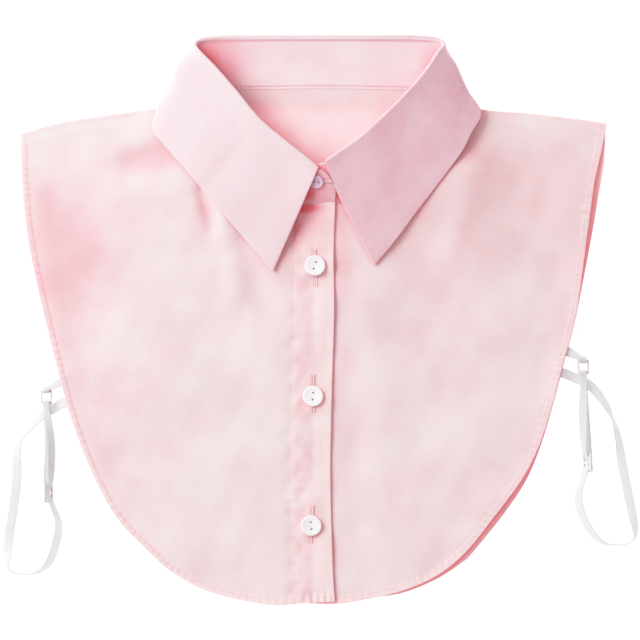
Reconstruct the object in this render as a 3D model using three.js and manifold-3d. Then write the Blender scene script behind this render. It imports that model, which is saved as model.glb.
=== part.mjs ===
// Detachable shirt collar: a pointed collar on a buttoned bib, lying face up.
// X runs across the shoulders, Y from the hem up to the neck, Z up from the surface it lies on.
import * as THREE from "three";
import Module from "manifold-3d";

const wasm = await Module();
wasm.setup();

// Driving dimensions in millimetres
const HALF_WIDTH = 184; // centre front to the shoulder tip
const BODY_LENGTH = 315; // side of the neck down to the hem
const HALF_NECK = 82.5; // centre back to the side of the neck
const NECK_DROP = 66; // side of the neck down to the front neck seam
const STAND_HEIGHT = 33; // collar stand, seam to roll line at the back
const LEAF_DEPTH = 45; // collar leaf, roll line to free edge at the back
const COLLAR_RISE = 24; // roll line above the surface at the front
const CLOTH = 1.2; // cotton, with its hem turned in
const LAY_GAP = 0.4; // air between two layers of cloth
const SEAM_GAP = 0.8; // butt gap where two pieces are sewn
const ROLL_RADIUS = 1.9; // middle of the cloth where the leaf turns over
const CHEST_RISE = 11; // bib front above the back at the foot of the neck opening
const ARM_RISE = 5; // bib front above the back half way down its side
const NECK_EDGE_RISE = 3.9; // bib front above the back at the side of the neck
const LIFT_FADE = 54; // down from the shoulder line until the bib front has its full height
const OVERLAP = 9; // placket edge past the centre front
const UNDERLAP = 14; // right front edge under the placket
const BUTTON_DIAMETER = 12.7;
const BUTTON_THICKNESS = 2.4;
const BUTTON_HOLE = 1.5;
const BUTTON_HOLE_SPACING = 4.3;
const COLLAR_BUTTON_DIAMETER = 9.6;
const COLLAR_BUTTON_THICKNESS = 1.6;
const BUTTON_PITCH = 80.6;
const FIRST_BUTTON_DOWN = 104.2; // side of the neck down to the first bib button
const STRAP_WIDTH = 6;
const STRAP_THICKNESS = 1;
const STRAP_GAP = 0.3;
const LOOP_DROP = 107; // strap, root to the lowest point of its loop
const LOOP_REACH = { left: 36.5, right: 45.8 }; // strap, root to the outermost point of its loop
const RING_WIDTH = 7.4;
const RING_LENGTH = 9.4;
const RING_BAR = 1.4;
const SLIDER_WIDTH = 8.6;
const SLIDER_LENGTH = 11.8;
const SLIDER_BAR = 1.3;
const PLASTIC = 1.4; // thickness of ring and slider

const STACK = CLOTH + LAY_GAP; // middle to middle of two layers that touch
const LEAF_LAY = STACK + LAY_GAP; // the leaf bridges the hollows of the cloth under it
const FLOOR_LAYER = CLOTH / 2; // middle of cloth that lies on the surface
const BACK_LIFT = STACK + LAY_GAP; // the back passes over the leaf behind the neck
const FRONT_LAYER = FLOOR_LAYER + STACK; // middle of the front where it lies on the back

const clamp = (v, low = 0, high = 1) => Math.min(high, Math.max(low, v));
const smooth = (v) => {
  const t = clamp(v);
  return t * t * (3 - 2 * t);
};

// Outer edge of each front from shoulder tip to centre hem: shares of HALF_WIDTH and BODY_LENGTH
const FRONT_EDGE = {
  left: [
    { across: 1.011, down: 0.072 },
    { across: 1.006, down: 0.163 },
    { across: 0.987, down: 0.271 },
    { across: 0.95, down: 0.379 },
    { across: 0.876, down: 0.556 },
    { across: 0.826, down: 0.655 },
    { across: 0.758, down: 0.753 },
    { across: 0.681, down: 0.832 },
    { across: 0.58, down: 0.893 },
    { across: 0.512, down: 0.93 },
    { across: 0.391, down: 0.97 },
    { across: 0.266, down: 0.99 },
    { across: 0.152, down: 1.0 },
    { across: 0.051, down: 0.996 },
  ],
  right: [
    { across: 0.969, down: 0.051 },
    { across: 0.947, down: 0.113 },
    { across: 0.925, down: 0.17 },
    { across: 0.903, down: 0.261 },
    { across: 0.859, down: 0.438 },
    { across: 0.822, down: 0.517 },
    { across: 0.778, down: 0.615 },
    { across: 0.735, down: 0.69 },
    { across: 0.681, down: 0.751 },
    { across: 0.6, down: 0.816 },
    { across: 0.482, down: 0.901 },
    { across: 0.388, down: 0.944 },
    { across: 0.27, down: 0.973 },
    { across: 0.152, down: 0.989 },
    { across: 0.051, down: 0.998 },
  ],
};
const LOWER_CORNER = { left: 8, right: 9 }; // row where the side edge turns into the hem

// Outer edge of the back, under the fronts
const BACK_EDGE = {
  left: FRONT_EDGE.left.map((row) => ({ across: row.across - 0.006, down: row.down - 0.002 })),
  right: [
    { across: 0.965, down: 0.054 },
    { across: 0.959, down: 0.129 },
    { across: 0.942, down: 0.19 },
    { across: 0.925, down: 0.25 },
    { across: 0.886, down: 0.371 },
    { across: 0.859, down: 0.448 },
    { across: 0.829, down: 0.513 },
    { across: 0.785, down: 0.611 },
    { across: 0.741, down: 0.694 },
    { across: 0.694, down: 0.757 },
    { across: 0.617, down: 0.824 },
    { across: 0.499, down: 0.909 },
    { across: 0.404, down: 0.946 },
    { across: 0.276, down: 0.977 },
    { across: 0.152, down: 0.986 },
    { across: 0.051, down: 0.989 },
  ],
};
const BACK_LOWER_CORNER = { left: 8, right: 11 };

// Shoulder line from the tip towards the neck: shares of HALF_WIDTH and BODY_LENGTH
const SHOULDER = {
  left: [
    { across: 1.011, down: 0.072 },
    { across: 0.886, down: 0.051 },
    { across: 0.721, down: 0.035 },
    { across: 0.57, down: 0.023 },
    { across: 0.54, down: 0.0205 },
  ],
  right: [
    { across: 0.969, down: 0.051 },
    { across: 0.913, down: 0.045 },
    { across: 0.721, down: 0.031 },
    { across: 0.535, down: 0.0215 },
  ],
};

// Placket edge down the centre front: sway as a share of OVERLAP, down as a share of BODY_LENGTH
const PLACKET_EDGE = [
  { sway: 1.07, down: 0.21 },
  { sway: 0.95, down: 0.31 },
  { sway: 0.99, down: 0.41 },
  { sway: 0.81, down: 0.6 },
  { sway: 0.73, down: 0.74 },
  { sway: 0.9, down: 0.93 },
  { sway: 1.01, down: 0.993 },
];

// The collar from centre front round the side to centre back.
// seam: shares of HALF_NECK and NECK_DROP; roll: from the seam, shares of STAND_HEIGHT;
// edge: from the roll line, shares of LEAF_DEPTH; rise: roll line, share of COLLAR_RISE.
const COLLAR = {
  left: [
    { seam: [0.024, 1.0], roll: [0.024, 0.664], edge: [-0.62, -1.424], rise: 1.0 },
    { seam: [0.17, 0.979], roll: [0.152, 0.821], edge: [-0.733, -1.233], rise: 1.01 },
    { seam: [0.339, 0.879], roll: [0.258, 0.873], edge: [-0.811, -1.062], rise: 1.0 },
    { seam: [0.604, 0.6], roll: [0.388, 0.764], edge: [-0.8, -0.947], rise: 0.955 },
    { seam: [0.764, 0.402], roll: [0.312, 0.942], edge: [-0.773, -0.987], rise: 0.867 },
    { seam: [0.873, 0.242], roll: [0.227, 1.03], edge: [-0.744, -1.022], rise: 0.756 },
    { seam: [0.958, 0.091], roll: [0.173, 1.039], edge: [-0.687, -1.073], rise: 0.6 },
    { seam: [0.985, 0.045], roll: [0.173, 1.03], edge: [-0.604, -0.956], rise: 0.489 },
    { seam: [1.0, 0.011], roll: [0.179, 1.021], edge: [-0.538, -0.876], rise: 0.378 },
    { seam: [0.992, -0.018], roll: [0.176, 1.024], edge: [-0.516, -0.862], rise: 0.267 },
    { seam: [0.952, -0.039], roll: [0.167, 1.039], edge: [-0.522, -0.922], rise: 0.178 },
    { seam: [0.824, -0.064], roll: [0.182, 1.033], edge: [-0.578, -0.98], rise: 0 },
    { seam: [0.509, -0.079], roll: [0.061, 1.012], edge: [-0.222, -0.991], rise: 0 },
  ],
  right: [
    { seam: [0.15, 0.99], roll: [0.28, 0.77], edge: [0.676, -1.433], rise: 0.92 },
    { seam: [0.206, 0.962], roll: [0.121, 0.918], edge: [0.756, -1.151], rise: 0.911 },
    { seam: [0.339, 0.879], roll: [0.079, 1.015], edge: [0.724, -1.011], rise: 0.92 },
    { seam: [0.604, 0.594], roll: [0.267, 0.885], edge: [0.778, -0.867], rise: 0.9 },
    { seam: [0.764, 0.386], roll: [0.273, 0.864], edge: [0.756, -0.811], rise: 0.844 },
    { seam: [0.873, 0.22], roll: [0.197, 0.948], edge: [0.656, -0.862], rise: 0.744 },
    { seam: [0.958, 0.068], roll: [0.182, 0.985], edge: [0.582, -0.907], rise: 0.6 },
    { seam: [0.985, 0.03], roll: [0.173, 0.994], edge: [0.538, -0.864], rise: 0.489 },
    { seam: [1.0, 0.002], roll: [0.179, 1.0], edge: [0.489, -0.867], rise: 0.378 },
    { seam: [0.992, -0.018], roll: [0.176, 1.024], edge: [0.482, -0.858], rise: 0.267 },
    { seam: [0.952, -0.039], roll: [0.167, 1.039], edge: [0.489, -0.915], rise: 0.178 },
    { seam: [0.824, -0.064], roll: [0.182, 1.033], edge: [0.556, -0.98], rise: 0 },
    { seam: [0.509, -0.079], roll: [0.061, 1.012], edge: [0.222, -0.991], rise: 0 },
  ],
  back: { seam: [0, -0.088], roll: [0, 0.997], edge: [0, -1.0], rise: 0 },
};
const FRONT_ROWS = 8; // rows of the table whose leaf lies on the bib front
const OVER_SHOULDER_ROW = 9; // row where the leaf passes round the shoulder seam

// Strap routes from the back's side edge round the loop to the slider:
// shares of LOOP_REACH and LOOP_DROP; roll: turn of the band about its own length, in degrees.
const STRAP_ROUTE = {
  left: [
    { out: -0.2, drop: -0.02, roll: 0 },
    { out: 0.0, drop: 0.0, roll: 0 },
    { out: 0.22, drop: 0.041, roll: 6 },
    { out: 0.34, drop: 0.064, roll: 20 },
    { out: 0.476, drop: 0.109, roll: 50 },
    { out: 0.629, drop: 0.161, roll: 60 },
    { out: 0.765, drop: 0.224, roll: 72 },
    { out: 0.824, drop: 0.305, roll: 50 },
    { out: 0.824, drop: 0.391, roll: 34 },
    { out: 0.833, drop: 0.477, roll: 14 },
    { out: 0.875, drop: 0.592, roll: 14 },
    { out: 0.935, drop: 0.735, roll: 20 },
    { out: 0.977, drop: 0.839, roll: 34 },
    { out: 0.985, drop: 0.907, roll: 50 },
    { out: 0.975, drop: 0.955, roll: 72 },
    { out: 0.901, drop: 0.985, roll: 84 },
    { out: 0.748, drop: 0.996, roll: 88 },
    { out: 0.578, drop: 0.996, roll: 86 },
    { out: 0.408, drop: 0.976, roll: 66 },
    { out: 0.265, drop: 0.919, roll: 40 },
    { out: 0.162, drop: 0.821, roll: 34 },
    { out: 0.111, drop: 0.706, roll: 44 },
  ],
  right: [
    { out: -0.2, drop: -0.02, roll: 0 },
    { out: 0.0, drop: 0.0, roll: 0 },
    { out: 0.202, drop: 0.035, roll: 4 },
    { out: 0.392, drop: 0.082, roll: 14 },
    { out: 0.568, drop: 0.176, roll: 40 },
    { out: 0.676, drop: 0.264, roll: 72 },
    { out: 0.75, drop: 0.375, roll: 44 },
    { out: 0.798, drop: 0.51, roll: 14 },
    { out: 0.859, drop: 0.645, roll: 14 },
    { out: 0.935, drop: 0.803, roll: 22 },
    { out: 0.98, drop: 0.903, roll: 48 },
    { out: 0.98, drop: 0.95, roll: 72 },
    { out: 0.92, drop: 0.982, roll: 86 },
    { out: 0.825, drop: 0.994, roll: 88 },
    { out: 0.662, drop: 0.996, roll: 86 },
    { out: 0.541, drop: 0.982, roll: 72 },
    { out: 0.432, drop: 0.945, roll: 50 },
    { out: 0.338, drop: 0.891, roll: 40 },
    { out: 0.256, drop: 0.815, roll: 38 },
    { out: 0.21, drop: 0.727, roll: 42 },
  ],
};
// Where the hardware lies: shares of LOOP_REACH and LOOP_DROP from the strap's root, which is
// at a level of BODY_LENGTH and clear of the back's edge
const HARDWARE = {
  left: { slider: [0.282, 0.526], ring: [0.315, -0.031], tab: [0.04, -0.12], level: 0.6, clear: 2.4 },
  right: { slider: [0.332, 0.519], ring: [0.277, -0.036], tab: [0.06, -0.125], level: 0.5425, clear: 0.6 },
};
const SLIDER_ROLL = 55; // the slider leans on its long edge
const BAND_CLEARANCE = 4; // middle of the doubled band above the surface at the ring

const point = (side, across, down) =>
  new THREE.Vector3((side === "left" ? -1 : 1) * across * HALF_WIDTH, -down * BODY_LENGTH, 0);

const spline = (points) => new THREE.CatmullRomCurve3(points, false, "centripetal");

// Evenly spaced points along a smooth curve through the given ones
const spaced = (points, count) => spline(points).getSpacedPoints(count);

// Half width of the bib front at a level, read along its outer edge
function halfWidthAt(side, down) {
  const rows = FRONT_EDGE[side];
  const next = rows.findIndex((row) => row.down >= down);
  if (next <= 0) return (next === 0 ? rows[0].across : 0.04) * HALF_WIDTH;
  const a = rows[next - 1];
  const b = rows[next];
  return THREE.MathUtils.lerp(a.across, b.across, (down - a.down) / (b.down - a.down)) * HALF_WIDTH;
}

// Level of the shoulder line above a place on the bib
function shoulderLevel(x) {
  const rows = SHOULDER[x < 0 ? "left" : "right"];
  const tip = rows[0];
  const share = clamp((Math.abs(x) - HALF_NECK) / (tip.across * HALF_WIDTH - HALF_NECK));
  return -tip.down * BODY_LENGTH * share;
}

// Middle of the bib front: on the back at shoulder and hem, raised over the chest by the collar
function frontHeight(x, y) {
  const side = x < 0 ? "left" : "right";
  const down = clamp(-y / BODY_LENGTH);
  const below = Math.max(0, shoulderLevel(x) - y);
  const outward = clamp(Math.abs(x) / halfWidthAt(side, down));
  const chest = CHEST_RISE * (1 - smooth((down - 0.12) / 0.88)) * (1.12 - 0.12 * smooth(down / 0.3));
  const arm = ARM_RISE * Math.sin(Math.PI * clamp((down - 0.05) / 0.95));
  const neckSide =
    NECK_EDGE_RISE * smooth((1.52 * HALF_NECK - Math.abs(x)) / (0.52 * HALF_NECK)) * Math.exp(-below / LIFT_FADE);
  return FRONT_LAYER + neckSide + smooth(below / LIFT_FADE) * (arm + (chest - arm) * (1 - outward * outward));
}

// The left front passes over the right one at the centre
const overlapLift = (x) => (x > 1.3 * OVERLAP ? 0 : STACK * smooth((x + 5 * OVERLAP) / (3 * OVERLAP)));
const topHeight = (x, y) => frontHeight(x, y) + overlapLift(x);
const HEIGHT = { left: topHeight, right: frontHeight };

// Middle of the back: flat on the surface, raised over the collar leaf behind the neck
function backHeight(x, y) {
  const near = smooth((y + 0.42 * NECK_DROP) / (0.3 * NECK_DROP));
  return FLOOR_LAYER + BACK_LIFT * near * smooth((1.43 * HALF_NECK - Math.abs(x)) / (0.19 * HALF_NECK));
}

const material = (color, roughness, metalness = 0) =>
  new THREE.MeshStandardMaterial({ color, roughness, metalness });
const COTTON = material(0xf0d8dc, 0.85);
const ELASTIC = material(0xf2f1f3, 0.8);
const BUTTON = material(0xf8f6f6, 0.35);
const CLEAR_PLASTIC = material(0xe9ebeb, 0.3);

const garment = new THREE.Group();

function addMesh(name, geometry, finish, place = garment) {
  const mesh = new THREE.Mesh(geometry, finish);
  mesh.name = name;
  place.add(mesh);
  return mesh;
}

// Closed sheet of even thickness about a grid of middle points
function sheet(grid, thickness = CLOTH) {
  const rows = grid.length;
  const columns = grid[0].length;
  const upper = [];
  const lower = [];
  const half = thickness / 2;
  for (let i = 0; i < rows; i++) {
    for (let j = 0; j < columns; j++) {
      const along = new THREE.Vector3().subVectors(
        grid[Math.min(rows - 1, i + 1)][j], grid[Math.max(0, i - 1)][j]);
      const over = new THREE.Vector3().subVectors(
        grid[i][Math.min(columns - 1, j + 1)], grid[i][Math.max(0, j - 1)]);
      const normal = along.cross(over).normalize();
      upper.push(grid[i][j].clone().addScaledVector(normal, half));
      lower.push(grid[i][j].clone().addScaledVector(normal, -half));
    }
  }
  for (const corner of [...upper, ...lower]) corner.z = Math.max(0, corner.z);
  const vertices = [...upper, ...lower];
  const shift = rows * columns;
  const at = (i, j) => i * columns + j;
  const index = [];
  const quad = (a, b, c, d) => index.push(a, b, c, a, c, d);
  for (let i = 0; i < rows - 1; i++) {
    for (let j = 0; j < columns - 1; j++) {
      const [a, b, c, d] = [at(i, j), at(i + 1, j), at(i + 1, j + 1), at(i, j + 1)];
      quad(a, b, c, d);
      quad(d + shift, c + shift, b + shift, a + shift);
    }
  }
  for (let i = 0; i < rows - 1; i++) {
    quad(at(i + 1, 0), at(i, 0), at(i, 0) + shift, at(i + 1, 0) + shift);
    const j = columns - 1;
    quad(at(i, j), at(i + 1, j), at(i + 1, j) + shift, at(i, j) + shift);
  }
  for (let j = 0; j < columns - 1; j++) {
    quad(at(0, j), at(0, j + 1), at(0, j + 1) + shift, at(0, j) + shift);
    const i = rows - 1;
    quad(at(i, j + 1), at(i, j), at(i, j) + shift, at(i, j + 1) + shift);
  }
  const geometry = new THREE.BufferGeometry();
  geometry.setAttribute("position", new THREE.Float32BufferAttribute(vertices.flatMap((v) => v.toArray()), 3));
  geometry.setIndex(index);
  return geometry;
}

// Grid between four edges that share their corners; rows run from top to bottom
function patch(top, bottom, left, right, height) {
  const rows = left.length - 1;
  const columns = top.length - 1;
  const grid = [];
  for (let i = 0; i <= rows; i++) {
    const t = i / rows;
    const line = [];
    for (let j = 0; j <= columns; j++) {
      const s = j / columns;
      const p = new THREE.Vector3()
        .addScaledVector(top[j], 1 - t)
        .addScaledVector(bottom[j], t)
        .addScaledVector(left[i], 1 - s)
        .addScaledVector(right[i], s)
        .addScaledVector(top[0], -(1 - s) * (1 - t))
        .addScaledVector(top[columns], -s * (1 - t))
        .addScaledVector(bottom[0], -(1 - s) * t)
        .addScaledVector(bottom[columns], -s * t);
      p.z = height(p.x, p.y);
      line.push(p);
    }
    grid.push(line);
  }
  return grid;
}

// Collar curves: seam, roll line and free edge, sampled at the same stations from the left
// centre front round the back to the right centre front
function collarStation(side, row) {
  const sign = side === "left" ? -1 : 1;
  const seam = new THREE.Vector3(sign * row.seam[0] * HALF_NECK, -row.seam[1] * NECK_DROP, 0);
  const roll = seam.clone();
  roll.x -= sign * row.roll[0] * STAND_HEIGHT;
  roll.y += row.roll[1] * STAND_HEIGHT;
  roll.z = Math.max(row.rise * COLLAR_RISE, FLOOR_LAYER + ROLL_RADIUS);
  const edge = new THREE.Vector3(roll.x + row.edge[0] * LEAF_DEPTH, roll.y + row.edge[1] * LEAF_DEPTH, 0);
  return { seam, roll, edge };
}

const leftStations = COLLAR.left.map((row) => collarStation("left", row));
const rightStations = COLLAR.right.map((row) => collarStation("right", row));
for (const [side, half] of [["left", leftStations], ["right", rightStations]]) {
  half.forEach(({ seam, edge }, i) => {
    const front = HEIGHT[side](seam.x, seam.y);
    const back = backHeight(seam.x, seam.y);
    seam.z = i < FRONT_ROWS ? front : i === FRONT_ROWS ? (front + back) / 2 : back;
    edge.z = i <= FRONT_ROWS ? HEIGHT[side](edge.x, edge.y) + LEAF_LAY : FLOOR_LAYER;
    if (i === OVER_SHOULDER_ROW) edge.z = backHeight(edge.x, edge.y) + CLOTH;
  });
}
const backStation = collarStation("left", COLLAR.back);
backStation.seam.z = backHeight(0, backStation.seam.y);
backStation.edge.z = FLOOR_LAYER;
const stations = [...leftStations, backStation, ...rightStations.reverse()];
const LAST = stations.length - 1;

const spansAt = (i) => {
  const row = Math.min(i, LAST - 1 - i);
  return row < FRONT_ROWS - 2 ? 2 : row < OVER_SHOULDER_ROW + 1 ? 2 : 3;
};
const collarCurves = {};
for (const key of ["seam", "roll", "edge"]) collarCurves[key] = spline(stations.map((s) => s[key]));

const ring = [];
for (let i = 0; i < LAST; i++) {
  const spans = spansAt(i);
  for (let k = 0; k < spans; k++) ring.push(i + k / spans);
}
ring.push(LAST);

// One slice across the collar: the stand's direction up, the outward normal, and the key points
const slices = ring.map((at) => {
  const u = at / LAST;
  const seam = collarCurves.seam.getPoint(u);
  const roll = collarCurves.roll.getPoint(u);
  const edge = collarCurves.edge.getPoint(u);
  const onFront = at < FRONT_ROWS || at > LAST - FRONT_ROWS;
  const height = HEIGHT[at < LAST / 2 ? "left" : "right"];
  if (onFront) edge.z = height(edge.x, edge.y) + LEAF_LAY;
  edge.z = Math.max(edge.z, FLOOR_LAYER);
  return { at, onFront, height, seam, roll, edge };
});
slices.forEach((slice, i) => {
  const before = slices[Math.max(0, i - 1)].roll;
  const after = slices[Math.min(slices.length - 1, i + 1)].roll;
  const run = new THREE.Vector3().subVectors(after, before).normalize();
  slice.up = new THREE.Vector3().subVectors(slice.roll, slice.seam).normalize();
  slice.out = new THREE.Vector3().crossVectors(slice.up, run).normalize();
  slice.centre = slice.roll.clone().addScaledVector(slice.up, -ROLL_RADIUS);
  slice.standTop = slice.centre.clone().addScaledVector(slice.out, -ROLL_RADIUS);
});

// Collar stand: a band from the neck seam to the roll line, longer than the leaf at both ends
const STAND_SPANS = 4;
const STAND_BOW = 0.8; // the band bows outwards a little between its edges
const standGrid = slices.map((slice) => {
  const low = slice.seam.clone().addScaledVector(slice.up, SEAM_GAP / 2);
  const high = slice.standTop.clone().addScaledVector(slice.up, -SEAM_GAP);
  const line = [];
  for (let j = 0; j <= STAND_SPANS; j++) {
    const share = j / STAND_SPANS;
    line.push(low.clone().lerp(high, share).addScaledVector(slice.out, STAND_BOW * Math.sin(Math.PI * share)));
  }
  return line;
});
// The ends run on past the centre front, the left one over the right one, and round off at the top
const STAND_END = [
  { beyond: 0.5, top: 0.88 },
  { beyond: 0.86, top: 0.55 },
  { beyond: 1.0, top: 0.3 },
];
function standEnd(line, reach, direction) {
  return STAND_END.map(({ beyond, top }) => {
    const foot = line[0].clone();
    foot.x += direction * beyond * reach;
    foot.y += 0.02 * direction * beyond * reach;
    const head = line[STAND_SPANS].clone();
    head.x += direction * beyond * (reach - Math.abs(line[STAND_SPANS].x - line[0].x) * 0.4);
    const tilted = [];
    for (let j = 0; j <= STAND_SPANS; j++) tilted.push(foot.clone().lerp(head, (top * j) / STAND_SPANS));
    return tilted;
  });
}
const leftReach = OVERLAP * 1.08 + COLLAR.left[0].seam[0] * HALF_NECK;
const rightReach = UNDERLAP + COLLAR.right[0].seam[0] * HALF_NECK;
const leftEnd = standEnd(standGrid[0], leftReach, 1).reverse();
const rightEnd = standEnd(standGrid[standGrid.length - 1], rightReach, -1);
addMesh("collar_stand", sheet([...leftEnd, ...standGrid, ...rightEnd]), COTTON);

// Collar leaf: turns over the roll line and falls to its free edge, two points in front
const ROLL_SPANS = 4;
const FALL_SPANS = 6;
const leafGrid = slices.map((slice) => {
  const line = [];
  for (let j = 0; j <= ROLL_SPANS; j++) {
    const turn = (Math.PI * j) / ROLL_SPANS;
    line.push(
      slice.centre.clone()
        .addScaledVector(slice.out, -ROLL_RADIUS * Math.cos(turn))
        .addScaledVector(slice.up, ROLL_RADIUS * Math.sin(turn)),
    );
  }
  const start = line[ROLL_SPANS];
  const reach = start.distanceTo(slice.edge);
  const level = slice.up.clone().setZ(0.3 * slice.up.z);
  const fall = new THREE.CubicBezierCurve3(
    start,
    start.clone().addScaledVector(level, -0.3 * reach),
    slice.edge.clone().lerp(start, 0.3),
    slice.edge,
  );
  for (let j = 1; j <= FALL_SPANS; j++) {
    const p = fall.getPoint(j / FALL_SPANS);
    if (slice.onFront) p.z = Math.max(p.z, slice.height(p.x, p.y) + LEAF_LAY);
    p.z = Math.max(p.z, FLOOR_LAYER);
    line.push(p);
  }
  return line;
});
addMesh("collar_leaf", sheet(leafGrid), COTTON);

// Neck edge of a panel: the seam between two stations, drawn back by half the seam gap
function neckEdge(from, to) {
  return slices
    .filter((slice) => slice.at >= from && slice.at <= to)
    .map((slice) => slice.seam.clone().addScaledVector(slice.up, -SEAM_GAP / 2).setZ(0));
}

const PANEL_ROWS = 12;
const SHOULDER_SPANS = 6;
const NECK_SPANS = 10;
const shoulderLine = (side, neck) =>
  spaced([...SHOULDER[side].map((row) => point(side, row.across, row.down)), neck], SHOULDER_SPANS);
const edgeLine = (rows, side, from, to) =>
  rows[side].slice(from, to).map((row) => point(side, row.across, row.down));

// Left front with its placket, on top
const leftNeck = neckEdge(0, FRONT_ROWS - 1).reverse();
leftNeck.push(new THREE.Vector3(PLACKET_EDGE[0].sway * OVERLAP, leftNeck[leftNeck.length - 1].y + 0.3, 0));
const placketEdge = spaced(
  [
    leftNeck[leftNeck.length - 1],
    ...PLACKET_EDGE.slice(1).map((row) => new THREE.Vector3(row.sway * OVERLAP, -row.down * BODY_LENGTH, 0)),
  ],
  PANEL_ROWS,
);
const leftTop = [...shoulderLine("left", leftNeck[0]), ...spaced(leftNeck, NECK_SPANS).slice(1)];
const leftHem = spaced(
  [...edgeLine(FRONT_EDGE, "left", LOWER_CORNER.left), placketEdge[PANEL_ROWS]],
  SHOULDER_SPANS + NECK_SPANS,
);
const leftSide = spaced(edgeLine(FRONT_EDGE, "left", 0, LOWER_CORNER.left + 1), PANEL_ROWS);
addMesh("front_panel_left", sheet(patch(leftTop, leftHem, leftSide, placketEdge, topHeight)), COTTON);

// Right front, its edge under the placket
const rightNeck = neckEdge(LAST - FRONT_ROWS + 1, LAST);
rightNeck.unshift(new THREE.Vector3(-UNDERLAP, 0, 0));
rightNeck.push(rightNeck.shift());
rightNeck[rightNeck.length - 1].y = rightNeck[rightNeck.length - 2].y - 0.3;
const rightTop = [...shoulderLine("right", rightNeck[0]), ...spaced(rightNeck, NECK_SPANS).slice(1)];
const underEdge = spaced(
  [rightNeck[rightNeck.length - 1], new THREE.Vector3(-UNDERLAP, -0.995 * BODY_LENGTH, 0)],
  PANEL_ROWS,
);
const rightHem = spaced(
  [...edgeLine(FRONT_EDGE, "right", LOWER_CORNER.right), underEdge[PANEL_ROWS]],
  SHOULDER_SPANS + NECK_SPANS,
);
const rightSide = spaced(edgeLine(FRONT_EDGE, "right", 0, LOWER_CORNER.right + 1), PANEL_ROWS);
const rightGrid = patch(rightTop, rightHem, rightSide, underEdge, frontHeight).map((line) => line.reverse());
addMesh("front_panel_right", sheet(rightGrid), COTTON);

// Back: one panel from shoulder to shoulder
const backNeck = neckEdge(OVER_SHOULDER_ROW + 0.5, LAST - OVER_SHOULDER_ROW - 0.5);
const backTop = [
  ...shoulderLine("left", backNeck[0]),
  ...spaced(backNeck, NECK_SPANS).slice(1),
  ...shoulderLine("right", backNeck[backNeck.length - 1]).reverse().slice(1),
];
const backHem = spaced(
  [
    ...edgeLine(BACK_EDGE, "left", BACK_LOWER_CORNER.left),
    ...edgeLine(BACK_EDGE, "right", BACK_LOWER_CORNER.right).reverse(),
  ],
  2 * SHOULDER_SPANS + NECK_SPANS,
);
const backLeft = spaced(edgeLine(BACK_EDGE, "left", 0, BACK_LOWER_CORNER.left + 1), PANEL_ROWS);
const backRight = spaced(edgeLine(BACK_EDGE, "right", 0, BACK_LOWER_CORNER.right + 1), PANEL_ROWS);
addMesh("back_panel", sheet(patch(backTop, backHem, backLeft, backRight, backHeight)), COTTON);

// Solids for cutting: shared corners merged, then joined or cut, then back to a geometry
function solid(geometry) {
  const corners = new Map();
  const vertices = [];
  const position = geometry.getAttribute("position");
  const corner = (i) => {
    const p = [position.getX(i), position.getY(i), position.getZ(i)];
    const key = p.map((v) => Math.round(v * 1e4)).join();
    if (!corners.has(key)) {
      corners.set(key, vertices.length / 3);
      vertices.push(...p);
    }
    return corners.get(key);
  };
  const order = geometry.index ? Array.from(geometry.index.array) : [...Array(position.count).keys()];
  const triangles = [];
  for (let i = 0; i < order.length; i += 3) {
    const face = [corner(order[i]), corner(order[i + 1]), corner(order[i + 2])];
    if (new Set(face).size === 3) triangles.push(...face);
  }
  const mesh = { numProp: 3, vertProperties: new Float32Array(vertices), triVerts: new Uint32Array(triangles) };
  return new wasm.Manifold(new wasm.Mesh(mesh));
}
function fromSolid(body) {
  const mesh = body.getMesh();
  const geometry = new THREE.BufferGeometry();
  geometry.setAttribute("position", new THREE.BufferAttribute(new Float32Array(mesh.vertProperties), 3));
  geometry.setIndex(new THREE.BufferAttribute(new Uint32Array(mesh.triVerts), 1));
  return geometry;
}

// Two-hole button: a turned disc with a raised rim and a dished middle
const BUTTON_SIDES = 20;
function buttonGeometry(diameter, thickness, hole, spacing) {
  const radius = diameter / 2;
  const profile = [
    new THREE.Vector2(0, -thickness / 2),
    new THREE.Vector2(0.72 * radius, -thickness / 2),
    new THREE.Vector2(radius, -0.1 * thickness),
    new THREE.Vector2(radius, 0.28 * thickness),
    new THREE.Vector2(0.9 * radius, thickness / 2),
    new THREE.Vector2(0.72 * radius, 0.38 * thickness),
    new THREE.Vector2(0.58 * radius, 0.14 * thickness),
    new THREE.Vector2(0, 0.1 * thickness),
  ];
  const disc = new THREE.LatheGeometry(profile, BUTTON_SIDES).rotateX(Math.PI / 2);
  let body = solid(disc);
  for (const end of [-1, 1]) {
    const drill = new THREE.CylinderGeometry(hole / 2, hole / 2, 3 * thickness, 10);
    drill.rotateX(Math.PI / 2).translate(0, (end * spacing) / 2, 0);
    body = body.subtract(solid(drill));
  }
  return fromSolid(body);
}

// A button sewn through the cloth lies on it, tilted with it
function seatButton(mesh, x, y, height, thickness) {
  const step = 4;
  const slopeX = (height(x + step, y) - height(x - step, y)) / (2 * step);
  const slopeY = (height(x, y + step) - height(x, y - step)) / (2 * step);
  const up = new THREE.Vector3(-slopeX, -slopeY, 1).normalize();
  mesh.quaternion.setFromUnitVectors(new THREE.Vector3(0, 0, 1), up);
  mesh.position.set(x, y, height(x, y)).addScaledVector(up, CLOTH / 2 + LAY_GAP + thickness / 2);
}

for (let i = 0; i < 3; i++) {
  const mesh = addMesh(
    "front_button_" + (i + 1),
    buttonGeometry(BUTTON_DIAMETER, BUTTON_THICKNESS, BUTTON_HOLE, BUTTON_HOLE_SPACING),
    BUTTON,
  );
  const x = -(0.35 + (i * 0.26) / 2) * OVERLAP;
  seatButton(mesh, x, -(FIRST_BUTTON_DOWN + i * BUTTON_PITCH), topHeight, BUTTON_THICKNESS);
}

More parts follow.
